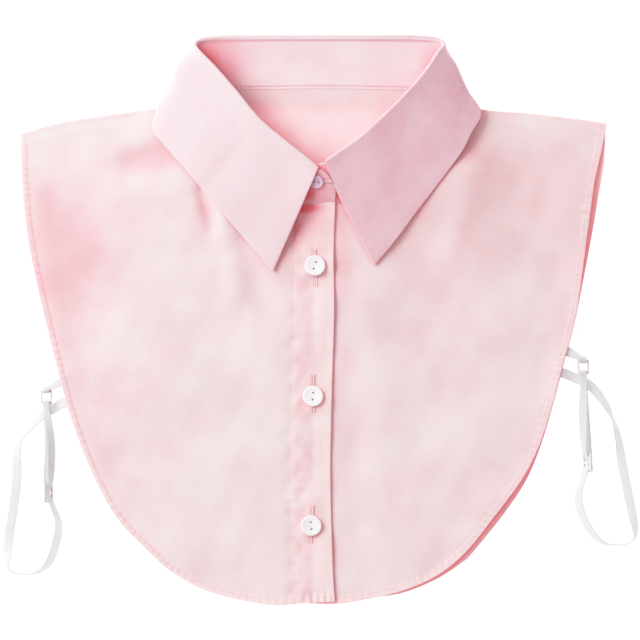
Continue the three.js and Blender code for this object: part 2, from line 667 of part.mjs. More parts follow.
const collarButton = addMesh(
  "collar_button",
  buttonGeometry(COLLAR_BUTTON_DIAMETER, COLLAR_BUTTON_THICKNESS, BUTTON_HOLE, 0.34 * COLLAR_BUTTON_DIAMETER),
  BUTTON,
);
const COLLAR_BUTTON_UP = 0.62; // place on the stand at the centre front, share of its height there
const standFront = standGrid[0];
const buttonFoot = standFront[0].clone().lerp(standFront[STAND_SPANS], COLLAR_BUTTON_UP);
buttonFoot.x += 0.1 * COLLAR_BUTTON_DIAMETER;
collarButton.quaternion.setFromUnitVectors(new THREE.Vector3(0, 0, 1), slices[0].out);
collarButton.position
  .copy(buttonFoot)
  .addScaledVector(slices[0].out, STAND_BOW + CLOTH / 2 + 2 * LAY_GAP + COLLAR_BUTTON_THICKNESS / 2);

// Flat band through route points, each with its middle, its side direction and its width
function band(route, thickness, steps) {
  const middle = spline(route.map((p) => p.middle));
  const widths = route.map((p) => p.width);
  const grid = [];
  for (let i = 0; i <= steps; i++) {
    const at = (i / steps) * (route.length - 1);
    const k = Math.min(route.length - 2, Math.floor(at));
    const share = at - k;
    const centre = middle.getPoint(i / steps);
    const side = route[k].side.clone().lerp(route[k + 1].side, smooth(share)).normalize();
    const half = THREE.MathUtils.lerp(widths[k], widths[k + 1], share) / 2;
    grid.push([centre.clone().addScaledVector(side, -half), centre.clone().addScaledVector(side, half)]);
  }
  return sheet(grid, thickness);
}

// Small plastic loop with one or two openings; its length runs along Y
function loopGeometry(width, length, bar, windows) {
  const corner = bar;
  const frame = (w, l, r, y) => {
    const path = new THREE.Shape();
    path.moveTo(-w / 2 + r, y - l / 2);
    path.lineTo(w / 2 - r, y - l / 2);
    path.absarc(w / 2 - r, y - l / 2 + r, r, -Math.PI / 2, 0);
    path.lineTo(w / 2, y + l / 2 - r);
    path.absarc(w / 2 - r, y + l / 2 - r, r, 0, Math.PI / 2);
    path.lineTo(-w / 2 + r, y + l / 2);
    path.absarc(-w / 2 + r, y + l / 2 - r, r, Math.PI / 2, Math.PI);
    path.lineTo(-w / 2, y - l / 2 + r);
    path.absarc(-w / 2 + r, y - l / 2 + r, r, Math.PI, 1.5 * Math.PI);
    return path;
  };
  const outline = frame(width, length, corner, 0);
  const opening = (length - bar * (windows + 1)) / windows;
  for (let i = 0; i < windows; i++) {
    const y = -length / 2 + bar + opening / 2 + i * (opening + bar);
    outline.holes.push(frame(width - 2 * bar, opening, 0.4 * bar, y));
  }
  const geometry = new THREE.ExtrudeGeometry(outline, { depth: PLASTIC, bevelEnabled: false, curveSegments: 3 });
  return fromSolid(solid(geometry.translate(0, 0, -PLASTIC / 2)));
}

// Half width of the back at a level, where the strap leaves it
function backEdgeAt(side, down) {
  const rows = BACK_EDGE[side];
  const next = rows.findIndex((row) => row.down >= down);
  const a = rows[next - 1];
  const b = rows[next];
  return THREE.MathUtils.lerp(a.across, b.across, (down - a.down) / (b.down - a.down)) * HALF_WIDTH;
}

const UP = new THREE.Vector3(0, 0, 1);
const radians = THREE.MathUtils.degToRad;

// Axes of a piece of hardware: x across the band, y along it, z out of its face
function hardwareFrame(position, along, roll) {
  const y = along.clone().normalize();
  const flat = new THREE.Vector3().crossVectors(y, UP).normalize();
  const x = flat.applyAxisAngle(y, radians(roll));
  const z = new THREE.Vector3().crossVectors(x, y);
  const matrix = new THREE.Matrix4().makeBasis(x, y, z).setPosition(position);
  return { x, y, z, position, matrix };
}
const inFrame = (frame, along, out) =>
  frame.position.clone().addScaledVector(frame.y, along).addScaledVector(frame.z, out);

// Middle of the band off the middle of a square bar that it passes round
const WRAP = (PLASTIC / 2) * Math.SQRT2 + STRAP_GAP + STRAP_THICKNESS / 2;
const DIAGONAL = WRAP * Math.SQRT1_2;
const RING_STRAP_WIDTH = RING_WIDTH - 2 * RING_BAR - 2 * STRAP_GAP;
const SLIDER_STRAP_WIDTH = SLIDER_WIDTH - 2 * SLIDER_BAR - 2 * STRAP_GAP;

for (const side of ["left", "right"]) {
  const sign = side === "left" ? -1 : 1;
  const place = HARDWARE[side];
  const root = new THREE.Vector3(
    sign * (backEdgeAt(side, place.level) + place.clear), -place.level * BODY_LENGTH, 0);
  const reach = LOOP_REACH[side];
  const loopPoint = (share) =>
    new THREE.Vector3(root.x + sign * share[0] * reach, root.y - share[1] * LOOP_DROP, 0);

  const sliderHeight =
    (SLIDER_WIDTH / 2) * Math.sin(radians(SLIDER_ROLL)) + WRAP * Math.cos(radians(SLIDER_ROLL)) + STRAP_GAP;
  const sliderPlace = loopPoint(place.slider).setZ(sliderHeight);
  const ringPlace = loopPoint(place.ring).setZ(BAND_CLEARANCE);
  const along = new THREE.Vector3().subVectors(ringPlace, sliderPlace);
  const slider = hardwareFrame(sliderPlace, along, -sign * SLIDER_ROLL);
  const ringFrame = hardwareFrame(ringPlace, along.clone().setZ(0), 0);

  const sliderMesh = addMesh(
    "strap_slider_" + side, loopGeometry(SLIDER_WIDTH, SLIDER_LENGTH, SLIDER_BAR, 2), CLEAR_PLASTIC);
  sliderMesh.applyMatrix4(slider.matrix);
  const ringMesh = addMesh(
    "strap_ring_" + side, loopGeometry(RING_WIDTH, RING_LENGTH, RING_BAR, 1), CLEAR_PLASTIC);
  ringMesh.applyMatrix4(ringFrame.matrix);

  // The strap: from the back's edge round the loop, woven through the slider, up to the ring,
  // round its lower bar and back down to the slider
  const rows = STRAP_ROUTE[side];
  const floorPoints = rows.map((row) => loopPoint([row.out, row.drop]));
  const strap = rows.map((row, i) => {
    const before = floorPoints[Math.max(0, i - 1)];
    const after = floorPoints[Math.min(rows.length - 1, i + 1)];
    const run = new THREE.Vector3().subVectors(after, before).normalize();
    const flat = new THREE.Vector3().crossVectors(run, UP).normalize();
    const tilt = radians(row.roll);
    const middle = floorPoints[i].clone();
    const onBack = row.out <= 0 ? CLOTH + STRAP_GAP : 0;
    middle.z =
      onBack + (STRAP_WIDTH / 2) * Math.sin(tilt) + (STRAP_THICKNESS / 2) * Math.cos(tilt);
    return { middle, side: flat.applyAxisAngle(run, -sign * tilt), width: STRAP_WIDTH };
  });
  const outerBar = SLIDER_LENGTH / 2 - SLIDER_BAR / 2;
  const weave = [
    [-outerBar, WRAP],
    [-0.5 * outerBar, 0],
    [0, -WRAP],
    [0.5 * outerBar, 0],
    [outerBar, WRAP],
  ];
  for (const [y, z] of weave) {
    strap.push({ middle: inFrame(slider, y, z), side: slider.x.clone(), width: SLIDER_STRAP_WIDTH });
  }
  const lowerBar = -(RING_LENGTH - RING_BAR) / 2;
  const turn = [
    [lowerBar - 2.5, WRAP],
    [lowerBar, WRAP],
    [lowerBar + DIAGONAL, DIAGONAL],
    [lowerBar + WRAP, 0],
    [lowerBar + DIAGONAL, -DIAGONAL],
    [lowerBar, -WRAP],
    [lowerBar - 2.5, -WRAP],
  ];
  for (const [y, z] of turn) {
    strap.push({ middle: inFrame(ringFrame, y, z), side: ringFrame.x.clone(), width: RING_STRAP_WIDTH });
  }
  for (const y of [outerBar, 0.78 * outerBar]) {
    strap.push({ middle: inFrame(slider, y, -WRAP), side: slider.x.clone(), width: SLIDER_STRAP_WIDTH });
  }
  addMesh("elastic_strap_" + side, band(strap, STRAP_THICKNESS, 3 * (strap.length - 1)), ELASTIC);

  // The tab: from under the front's edge over the ring's upper bar and back under itself
  const upperBar = -lowerBar;
  const tabRoot = loopPoint(place.tab);
  const inward = new THREE.Vector3(-sign, 0.4, 0).normalize();
  const tabLift = CLOTH / 2 + STRAP_GAP + STRAP_THICKNESS / 2;
  const underFront = (distance) => {
    const p = tabRoot.clone().addScaledVector(inward, distance);
    return p.setZ(frontHeight(p.x, p.y) - tabLift);
  };
  const tabEnd = inFrame(ringFrame, upperBar, WRAP);
  const tabStart = underFront(0);
  const tabSide = new THREE.Vector3(0.4 * sign, 1, 0).normalize().multiplyScalar(sign);
  const tab = [
    { middle: underFront(6), side: tabSide, width: STRAP_WIDTH },
    { middle: tabStart, side: tabSide, width: STRAP_WIDTH },
    {
      middle: tabStart.clone().lerp(tabEnd, 0.6).setZ(tabEnd.z),
      side: tabSide.clone().lerp(ringFrame.x, 0.6).normalize(),
      width: 0.8 * STRAP_WIDTH,
    },
  ];
  const tabTurn = [
    [upperBar, WRAP],
    [upperBar - DIAGONAL, DIAGONAL],
    [upperBar - WRAP, 0],
    [upperBar - DIAGONAL, -DIAGONAL],
    [upperBar, -WRAP],
    [upperBar + 2.4, -WRAP],
  ];
  for (const [y, z] of tabTurn) {
    tab.push({ middle: inFrame(ringFrame, y, z), side: ringFrame.x.clone(), width: RING_STRAP_WIDTH });
  }
  addMesh("strap_tab_" + side, band(tab, STRAP_THICKNESS, 3 * (tab.length - 1)), ELASTIC);
}

// The origin lies under the middle of the whole piece, on the surface
const box = new THREE.Box3().setFromObject(garment);
const middle = box.getCenter(new THREE.Vector3());
garment.position.set(-middle.x, -middle.y, -box.min.z);

export default garment;
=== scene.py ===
import math

import bmesh
import bpy
import numpy as np
from mathutils import Matrix, Vector, kdtree
from mathutils.bvhtree import BVHTree


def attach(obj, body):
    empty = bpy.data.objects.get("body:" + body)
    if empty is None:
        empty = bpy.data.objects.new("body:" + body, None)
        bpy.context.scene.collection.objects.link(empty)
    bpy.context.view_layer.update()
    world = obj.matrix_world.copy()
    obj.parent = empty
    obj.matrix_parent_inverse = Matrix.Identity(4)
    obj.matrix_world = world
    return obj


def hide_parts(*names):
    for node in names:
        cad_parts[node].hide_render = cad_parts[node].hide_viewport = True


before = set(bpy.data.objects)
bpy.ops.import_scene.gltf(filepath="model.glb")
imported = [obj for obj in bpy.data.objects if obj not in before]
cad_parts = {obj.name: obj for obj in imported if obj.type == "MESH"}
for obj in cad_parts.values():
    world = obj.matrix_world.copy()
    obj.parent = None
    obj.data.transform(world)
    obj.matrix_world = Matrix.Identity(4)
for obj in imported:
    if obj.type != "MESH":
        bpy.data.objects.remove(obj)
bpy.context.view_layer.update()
bpy.ops.object.select_all(action="DESELECT")


# The back of the bib
# One panel of cotton poplin that lies on the floor. Its curved edge is turned in twice and
# stitched, and its neck edge goes up between the two layers of the collar band.
MM = 0.001
NECK_SIDE = np.array([-0.614, 137.796, 0.0])  # the middle of the neck in the frame
HALF_WIDTH = 184.0  # centre front to the shoulder tip
BODY_LENGTH = 315.0  # side of the neck down to the hem
HALF_NECK = 82.5
NECK_DROP = 66.0  # side of the neck down to the front neck seam
STAND_HEIGHT = 33.0  # collar band, seam to roll line at the back
LEAF_DEPTH = 45.0  # collar leaf, roll line to free edge at the back
COLLAR_RISE = 24.0  # roll line above the floor at the front
ROLL_RADIUS = 0.8  # the leaf is pressed into a narrow turn
LAYER = 0.5  # one layer of poplin
STACK = 1.6  # middle to middle of two pieces that lie on each other
AIR = 0.4
FLOOR_LAYER = 0.6  # middle of cloth that lies on the floor
BACK_ROLL = 2.5  # roll line above the floor behind the neck
LEAF_LAY = 1.05  # middle of the leaf above the middle of the front that it lies on
OVERLAP = 9.0  # the left front's edge past the centre front
HEM_STITCH = 3.2  # from the edge to the hem's stitches
HEM_RISE = 0.42  # of the upper face over the hem's layers
SIGN = {"left": -1, "right": 1}

# Outer edges from shoulder tip to centre hem, shares of HALF_WIDTH and BODY_LENGTH: across, down
FRONT_EDGE = {
    "left": [
        (1.011, 0.072), (1.006, 0.163), (0.987, 0.271), (0.95, 0.379), (0.876, 0.556),
        (0.826, 0.655), (0.758, 0.753), (0.681, 0.832), (0.58, 0.893), (0.512, 0.93),
        (0.391, 0.97), (0.266, 0.99), (0.152, 1.0), (0.051, 0.996),
    ],
    "right": [
        (0.969, 0.051), (0.947, 0.113), (0.925, 0.17), (0.903, 0.261), (0.859, 0.438),
        (0.822, 0.517), (0.778, 0.615), (0.735, 0.69), (0.681, 0.751), (0.6, 0.816),
        (0.482, 0.901), (0.388, 0.944), (0.27, 0.973), (0.152, 0.989), (0.051, 0.998),
    ],
}
BACK_EDGE = {
    "left": [(across - 0.006, down - 0.002) for across, down in FRONT_EDGE["left"]],
    "right": [
        (0.965, 0.054), (0.959, 0.129), (0.942, 0.19), (0.925, 0.25), (0.886, 0.371),
        (0.859, 0.448), (0.829, 0.513), (0.785, 0.611), (0.741, 0.694), (0.694, 0.757),
        (0.617, 0.824), (0.499, 0.909), (0.404, 0.946), (0.276, 0.977), (0.152, 0.986),
        (0.051, 0.989),
    ],
}
LOWER_CORNER = {"left": 8, "right": 9}  # row where the side edge turns into the hem
BACK_LOWER_CORNER = {"left": 8, "right": 11}
SHOULDER = {
    "left": [(1.011, 0.072), (0.886, 0.051), (0.721, 0.035), (0.57, 0.023), (0.54, 0.0205)],
    "right": [(0.969, 0.051), (0.913, 0.045), (0.721, 0.031), (0.535, 0.0215)],
}

# The collar from centre front round the side to centre back, one row for each place:
# seam (shares of HALF_NECK, NECK_DROP), roll line from the seam (shares of STAND_HEIGHT),
# free edge from the roll line (shares of LEAF_DEPTH), rise (share of COLLAR_RISE)
COLLAR_LEFT = [
    (0.024, 1.0, 0.024, 0.664, -0.62, -1.424, 1.0),
    (0.17, 0.979, 0.152, 0.821, -0.733, -1.233, 1.01),
    (0.339, 0.879, 0.258, 0.873, -0.811, -1.062, 1.0),
    (0.604, 0.6, 0.388, 0.764, -0.8, -0.947, 0.955),
    (0.764, 0.402, 0.312, 0.942, -0.773, -0.987, 0.867),
    (0.873, 0.242, 0.227, 1.03, -0.744, -1.022, 0.756),
    (0.958, 0.091, 0.135, 1.039, -0.659, -1.073, 0.6),
    (0.985, 0.045, 0.13, 1.03, -0.572, -0.956, 0.489),
    (1.0, 0.011, 0.145, 1.021, -0.513, -0.876, 0.378),
    (0.992, -0.018, 0.155, 1.024, -0.501, -0.862, 0.267),
    (0.952, -0.039, 0.167, 1.039, -0.522, -0.922, 0.178),
    (0.824, -0.064, 0.182, 1.033, -0.578, -0.98, 0.0),
    (0.509, -0.079, 0.061, 1.012, -0.222, -0.991, 0.0),
]
COLLAR_RIGHT = [
    (0.15, 0.99, 0.28, 0.77, 0.676, -1.433, 0.92),
    (0.206, 0.962, 0.121, 0.918, 0.737, -1.248, 0.911),
    (0.339, 0.879, 0.079, 1.015, 0.697, -1.124, 0.92),
    (0.604, 0.594, 0.267, 0.885, 0.773, -0.889, 0.9),
    (0.764, 0.386, 0.273, 0.864, 0.756, -0.811, 0.844),
    (0.873, 0.22, 0.197, 0.948, 0.63, -0.862, 0.744),
    (0.958, 0.068, 0.182, 0.985, 0.582, -0.907, 0.6),
    (0.985, 0.03, 0.173, 0.994, 0.538, -0.864, 0.489),
    (1.0, 0.002, 0.179, 1.0, 0.489, -0.867, 0.378),
    (0.992, -0.018, 0.176, 1.024, 0.482, -0.858, 0.267),
    (0.952, -0.039, 0.167, 1.039, 0.489, -0.915, 0.178),
    (0.824, -0.064, 0.182, 1.033, 0.556, -0.98, 0.0),
    (0.509, -0.079, 0.061, 1.012, 0.222, -0.991, 0.0),
]
COLLAR_BACK = (0.0, -0.088, 0.0, 0.997, 0.0, -1.0, 0.0)
FRONT_ROWS = 8  # rows whose leaf lies on the bib front
OVER_SHOULDER_ROW = 9


def smooth(v):
    t = np.clip(v, 0.0, 1.0)
    return t * t * (3 - 2 * t)


def on_curve(points, u):
    """Smooth curve through points, read at u: whole numbers are the points themselves."""
    p = np.asarray(points, float)
    p = np.vstack([2 * p[0] - p[1], p, 2 * p[-1] - p[-2]])
    u = np.asarray(u, float)
    k = np.clip(np.floor(u).astype(int), 0, len(p) - 4)
    t = (u - k)[:, None]
    p0, p1, p2, p3 = p[k], p[k + 1], p[k + 2], p[k + 3]
    gaps = [np.linalg.norm(b - a, axis=1)[:, None] for a, b in ((p0, p1), (p1, p2), (p2, p3))]
    d0, d1, d2 = [np.sqrt(np.maximum(gap, 1e-6)) for gap in gaps]
    m1 = d1 * ((p1 - p0) / d0 - (p2 - p0) / (d0 + d1) + (p2 - p1) / d1)
    m2 = d1 * ((p2 - p1) / d1 - (p3 - p1) / (d1 + d2) + (p3 - p2) / d2)
    near = (2 * t**3 - 3 * t**2 + 1) * p1 + (t**3 - 2 * t**2 + t) * m1
    return near + (3 * t**2 - 2 * t**3) * p2 + (t**3 - t**2) * m2


def run_length(points):
    steps = np.linalg.norm(np.diff(points, axis=0), axis=1)
    return np.concatenate([[0.0], np.cumsum(steps)])


def along(points, shares):
    """Places along the smooth curve through points, at shares of its length."""
    fine = on_curve(points, np.linspace(0, len(points) - 1, 40 * (len(points) - 1) + 1))
    length = run_length(fine)
    at = np.asarray(shares) * length[-1]
    return np.stack([np.interp(at, length, fine[:, i]) for i in range(fine.shape[1])], axis=1)


def places(rows, side):
    return [(SIGN[side] * across * HALF_WIDTH, -down * BODY_LENGTH) for across, down in rows]


def ridge(v, middle, half):
    """Soft ridge over v, one at its middle."""
    return np.exp(-(((v - middle) / half) ** 2))


def spots(x, y, rows):
    """Sum of soft spots: middle in x and y, half the size each way, height."""
    return sum(top * ridge(x, x0, half_x) * ridge(y, y0, half_y) for x0, y0, half_x, half_y, top in rows)


# Heights of the cloth's middle above the floor
def ripple(x, y, size, seed, waves=7):
    """Soft unevenness of about one either way, each wave about size across."""
    draw = np.random.RandomState(seed)
    total = np.zeros_like(x)
    for _ in range(waves):
        turn = draw.uniform(0, 2 * np.pi)
        wave = 2 * np.pi / (size * draw.uniform(0.7, 1.5))
        total += np.sin(wave * (x * np.cos(turn) + y * np.sin(turn)) + draw.uniform(0, 2 * np.pi))
    return total / math.sqrt(waves)


# Soft folds that the fronts fell into: from x, y to x, y; half width; rise
FOLDS = [
    (-116, -38, -92, -31, 9, -2.6),
    (-124, -60, -88, -52, 11, 0.9),
    (-161, -64, -150, -150, 17, -2.0),
    (-73, -58, -67, -80, 4.5, -2.0),
    (-66, -62, -60, -76, 4, 1.0),
    (-61, -62, -52, -120, 8, 1.5),
    (-47, -88, -34, -128, 7, -1.0),
    (-118, -150, -70, -190, 24, 1.6),
    (-150, -200, -100, -250, 16, -1.4),
    (-60, -230, -40, -290, 15, 0.9),
    (118, -50, 150, -110, 20, -1.3),
    (92, -46, 80, -100, 12, 1.1),
    (60, -100, 96, -160, 18, -1.2),
    (30, -130, 40, -215, 14, 1.1),
    (110, -190, 70, -240, 20, 1.2),
    (20, -200, 24, -290, 9, -0.7),
]


def fold_relief(x, y):
    total = 0.7 * ripple(x, y, 62, 11) + 0.16 * ripple(x, y, 23, 5)
    for x0, y0, x1, y1, half, rise in FOLDS:
        run = np.array([x1 - x0, y1 - y0], float)
        share = np.clip(((x - x0) * run[0] + (y - y0) * run[1]) / (run @ run), 0, 1)
        far = np.hypot(x - x0 - share * run[0], y - y0 - share * run[1])
        total = total + rise * ridge(far, 0, half)
    return total


def shoulder_level(x):
    level = np.zeros_like(x)
    for side, sign in SIGN.items():
        across, down = SHOULDER[side][0]
        share = np.clip((sign * x - HALF_NECK) / (across * HALF_WIDTH - HALF_NECK), 0, 1)
        level = np.where(sign * x > 0, -down * BODY_LENGTH * share, level)
    return level


def half_width(x, down):
    left = np.array(FRONT_EDGE["left"][:-1])
    right = np.array(FRONT_EDGE["right"])
    on_left = np.interp(down, left[:, 1], left[:, 0])
    on_right = np.interp(down, right[:, 1], right[:, 0])
    return HALF_WIDTH * np.where(x < 0, on_left, on_right)


def front_middle(x, y, over):
    """Middle of a front: on the back at shoulder and hem, raised over the chest by the collar."""
    chest_rise, arm_rise, neck_rise, fade = 11.0, 5.0, 3.9, 54.0
    down = np.clip(-y / BODY_LENGTH, 0, 1)
    below = np.maximum(0.0, shoulder_level(x) - y)
    outward = np.clip(np.abs(x) / half_width(x, down), 0, 1)
    chest = chest_rise * (1 - smooth((down - 0.12) / 0.88)) * (1.12 - 0.12 * smooth(down / 0.3))
    arm = arm_rise * np.sin(np.pi * np.clip((down - 0.05) / 0.95, 0, 1))
    beside = smooth((1.52 * HALF_NECK - np.abs(x)) / (0.52 * HALF_NECK))
    height = FLOOR_LAYER + STACK + neck_rise * beside * np.exp(-below / fade)
    height = height + smooth(below / fade) * (arm + (chest - arm) * (1 - outward**2))
    loose = smooth(below / 30) * smooth((1 - outward) / 0.12 + 0.15) * smooth((1 - down) / 0.06)
    height = height + loose * fold_relief(x, y)
    height = np.maximum(height, FLOOR_LAYER + STACK)
    lap = 0.72 * STACK * smooth((x + 7 * OVERLAP) / (6 * OVERLAP))
    return height + np.where(over & (x <= 1.3 * OVERLAP), lap, 0.0)


def back_middle(x, y):
    near = smooth((y + 0.75 * NECK_DROP) / (0.66 * NECK_DROP))
    beside = smooth((1.43 * HALF_NECK - np.abs(x)) / (0.19 * HALF_NECK))
    return FLOOR_LAYER + (STACK + AIR) * near * beside


# The collar's three lines, from the left centre front round the back to the right centre front
def collar_rows(rows, side):
    sign = SIGN[side]
    lines = [], [], []
    for i, (s0, s1, r0, r1, e0, e1, rise) in enumerate(rows):
        seam = np.array([sign * s0 * HALF_NECK, -s1 * NECK_DROP, 0.0])
        roll = seam + [-sign * r0 * STAND_HEIGHT, r1 * STAND_HEIGHT, 0.0]
        roll[2] = max(rise * COLLAR_RISE, BACK_ROLL)
        edge = np.array([roll[0] + e0 * LEAF_DEPTH, roll[1] + e1 * LEAF_DEPTH, 0.0])
        front = front_middle(*seam[:2, None], side == "left")[0]
        back = back_middle(*seam[:2])
        on_front = np.clip((FRONT_ROWS - i + 1) / 2, 0, 1)
        seam[2] = on_front * front + (1 - on_front) * back
        if i <= FRONT_ROWS:
            edge[2] = front_middle(*edge[:2, None], side == "left")[0] + LEAF_LAY
        elif i == OVER_SHOULDER_ROW:
            edge[2] = back_middle(*edge[:2]) + 1.2
        else:
            edge[2] = FLOOR_LAYER
        for line, place in zip(lines, (seam, roll, edge)):
            line.append(place)
    return lines


left_lines = collar_rows(COLLAR_LEFT + [COLLAR_BACK], "left")
right_lines = collar_rows(COLLAR_RIGHT, "right")
seam_line, roll_line, edge_line = [np.array(a + b[::-1]) for a, b in zip(left_lines, right_lines)]
LAST = len(seam_line) - 1


class Slices:
    """Slices across the collar at places u: key points, the band's way up and its outer side."""

    def __init__(self, u):
        self.front = (u < FRONT_ROWS) | (u > LAST - FRONT_ROWS)
        self.left = u < LAST / 2
        self.seam = on_curve(seam_line, u)
        self.roll = on_curve(roll_line, u)
        self.edge = on_curve(edge_line, u)
        lying = front_middle(self.edge[:, 0], self.edge[:, 1], self.left) + LEAF_LAY
        if len(u) > 100:
            lying = lying + 0.7 * (bridged(lying, len(u) // 15) - lying)
        self.edge[:, 2] = np.maximum(np.where(self.front, lying, self.edge[:, 2]), FLOOR_LAYER)
        ahead, behind = [on_curve(roll_line, np.clip(u + step, 0, LAST)) for step in (0.4, -0.4)]
        self.up = unit(self.roll - self.seam)
        self.out = unit(np.cross(self.up, unit(ahead - behind)))
        self.centre = self.roll - ROLL_RADIUS * self.up
        self.top = self.centre - ROLL_RADIUS * self.out


def bridged(level, reach):
    """Level of something stiff that lies on the high places of a row of levels."""
    padded = np.pad(level, 2 * reach, mode="edge")
    high = np.array([padded[i : i + 2 * reach + 1].max() for i in range(len(padded) - 2 * reach)])
    return np.convolve(high, np.hanning(2 * reach + 1) / reach, mode="valid")


def unit(v):
    return v / np.linalg.norm(v, axis=-1, keepdims=True)


def neck_edge(start, stop, count=60):
    """Neck edge of a panel, inside the foot of the collar band."""
    tuck = 1.2
    slices = Slices(np.linspace(start, stop, count))
    return (slices.seam + tuck * slices.up)[:, :2]


# Meshes of cloth
RIM = np.array([0.0, 0.03, 0.1, 0.22, 0.45, 0.8])  # lines that round off a folded edge


def shares(length, step, rims=(True, True)):
    """Shares of a length about one step apart, with more of them at its two rims."""
    first = RIM if rims[0] else RIM[:1]
    last = RIM if rims[1] else RIM[:1]
    count = max(2, int(round((length - first[-1] - last[-1]) / step)))
    inner = np.linspace(first[-1], length - last[-1], count + 1)[1:-1]
    return np.concatenate([first, inner, length - last[::-1]]) / length


def patch(top, bottom, left, right, across, down):
    """Grid of places between four edges that share their corners."""
    s = across[None, :, None]
    t = down[:, None, None]
    grid = (1 - t) * top[None] + t * bottom[None] + (1 - s) * left[:, None] + s * right[:, None]
    corners = (1 - s) * (1 - t) * top[0] + s * (1 - t) * top[-1]
    return grid - corners - (1 - s) * t * bottom[0] - s * t * bottom[-1]


def rounding(places_along, radius=0.45):
    """Share of the full thickness near the two ends of a row of places."""
    length = places_along[-1]
    near = np.clip(np.minimum(places_along, length - places_along) / radius, 0, 1)
    return 0.18 + 0.82 * np.sqrt(np.maximum(0, 1 - (1 - near) ** 2))


def edge_finder(line):
    """Function that gives each place's distance to the line and the length run along it."""
    length = run_length(line)
    dense_at = np.arange(0, length[-1], 0.25)
    dense = np.stack([np.interp(dense_at, length, line[:, i]) for i in range(2)], axis=1)
    tree = kdtree.KDTree(len(dense))
    for i, place in enumerate(dense):
        tree.insert((place[0], place[1], 0), i)
    tree.balance()

    def find(x, y):
        found = [tree.find((a, b, 0))[1:] for a, b in zip(x.ravel(), y.ravel())]
        index, far = np.array(found).T
        return far.reshape(x.shape), dense_at[index.astype(int)].reshape(x.shape)

    return find


def puckers(run, seed, pitch=4.6):
    """Small ridges across a seam, where its thread draws the cloth up, about one either way."""
    draw = np.random.RandomState(seed)
    a, b, c = draw.uniform(0, 6, 3)
    strength = 0.55 + 0.45 * np.sin(run / 29 + a) * np.sin(run / 11.3 + b)
    return strength * np.sin(2 * np.pi * run / pitch + 2.2 * np.sin(run / 9.7 + c) + 1.4 * np.sin(run / 23))


def hem_relief(far, run, seed):
    """Rise of the upper face over a hem, and sway of the whole cloth along it."""
    turned = HEM_RISE * (1 - smooth((far - HEM_STITCH + 0.1) / 1.0))
    stitched = -0.16 * ridge(far, HEM_STITCH, 0.55)
    sway = 0.34 * puckers(run, seed) * ridge(far, 2.0, 3.4)
    return turned + stitched, sway


def add_mesh(name, vertices, faces, uv=None):
    mesh = bpy.data.meshes.new(name)
    mesh.from_pydata(((vertices + NECK_SIDE) * MM).tolist(), [], faces.tolist())
    if uv is not None:
        corner = np.empty(len(mesh.loops), dtype=np.int32)
        mesh.loops.foreach_get("vertex_index", corner)
        layer = mesh.uv_layers.new(name="cloth")
        layer.data.foreach_set("uv", (uv[corner] * MM).astype(np.float32).ravel())
    mesh.polygons.foreach_set("use_smooth", np.ones(len(mesh.polygons), dtype=bool))
    mesh.validate()
    piece = bpy.data.objects.new(name, mesh)
    bpy.context.collection.objects.link(piece)
    return piece


def cloth_sheet(name, grid, above, below, uv, upright=False, painted_shade=None):
    """Closed sheet about a grid of middle places, with its thickness above and below them.
    painted_shade is how much painted shade each place takes in its colour, kept as an attribute."""
    rows, columns = grid.shape[:2]
    normal = unit(np.cross(np.gradient(grid, axis=0), np.gradient(grid, axis=1)))
    if upright:
        normal = np.zeros_like(grid) + np.sign(normal[rows // 2, columns // 2, 2]) * np.array([0, 0, 1.0])
    upper = grid + normal * above[..., None]
    lower = grid - normal * below[..., None]
    vertices = np.concatenate([upper.reshape(-1, 3), lower.reshape(-1, 3)])
    vertices[:, 2] = np.maximum(vertices[:, 2], 0.0)
    at = np.arange(rows * columns).reshape(rows, columns)
    shift = rows * columns
    a, b, c, d = at[:-1, :-1], at[1:, :-1], at[1:, 1:], at[:-1, 1:]
    quads = [np.stack([a, b, c, d], -1).reshape(-1, 4), np.stack([d, c, b, a], -1).reshape(-1, 4) + shift]
    rims = [
        (at[1:, 0], at[:-1, 0]), (at[:-1, -1], at[1:, -1]),
        (at[0, :-1], at[0, 1:]), (at[-1, 1:], at[-1, :-1]),
    ]
    for start, stop in rims:
        quads.append(np.stack([start, stop, stop + shift, start + shift], -1))
    both = np.concatenate([uv.reshape(-1, 2), uv.reshape(-1, 2)])
    piece = add_mesh(name, vertices, np.concatenate(quads), both)
    if painted_shade is not None:
        layer = piece.data.attributes.new("painted_shade", "FLOAT", "POINT")
        layer.data.foreach_set("value", np.concatenate([painted_shade.ravel()] * 2).astype(np.float32))
    return piece


# Nodes of the finishes
def fill(tree, node, inputs):
    """Puts sockets and constants on a node's inputs."""
    for entry, source in inputs.items():
        if isinstance(source, bpy.types.NodeSocket):
            tree.links.new(source, node.inputs[entry])
        else:
            node.inputs[entry].default_value = source


def wired(tree, kind, inputs, **settings):
    """Outputs of a new node with these settings, and sockets or constants on its inputs."""
    node = tree.nodes.new(f"ShaderNode{kind}")
    for setting, value in settings.items():
        setattr(node, setting, value)
    fill(tree, node, inputs)
    return node.outputs


def color_mix(tree, factor, first, second, blend="MIX"):
    """Mix of two colours, each a colour or a socket, by a socket or a number."""
    first, second = [(*color, 1) if isinstance(color, tuple) else color for color in (first, second)]
    inputs = {"Factor": factor, "A": first, "B": second}
    return wired(tree, "Mix", inputs, data_type="RGBA", blend_type=blend)["Result"]


def stretched(tree, value, low, high, most=1.0, **settings):
    """Value between low and high, stretched to run from nothing to most."""
    inputs = {"Value": value, "From Min": low, "From Max": high, "To Max": most}
    return wired(tree, "MapRange", inputs, **settings)[0]


def blank_material(name):
    material = bpy.data.materials.new(name)
    material.use_nodes = True
    return material, material.node_tree, material.node_tree.nodes["Principled BSDF"]


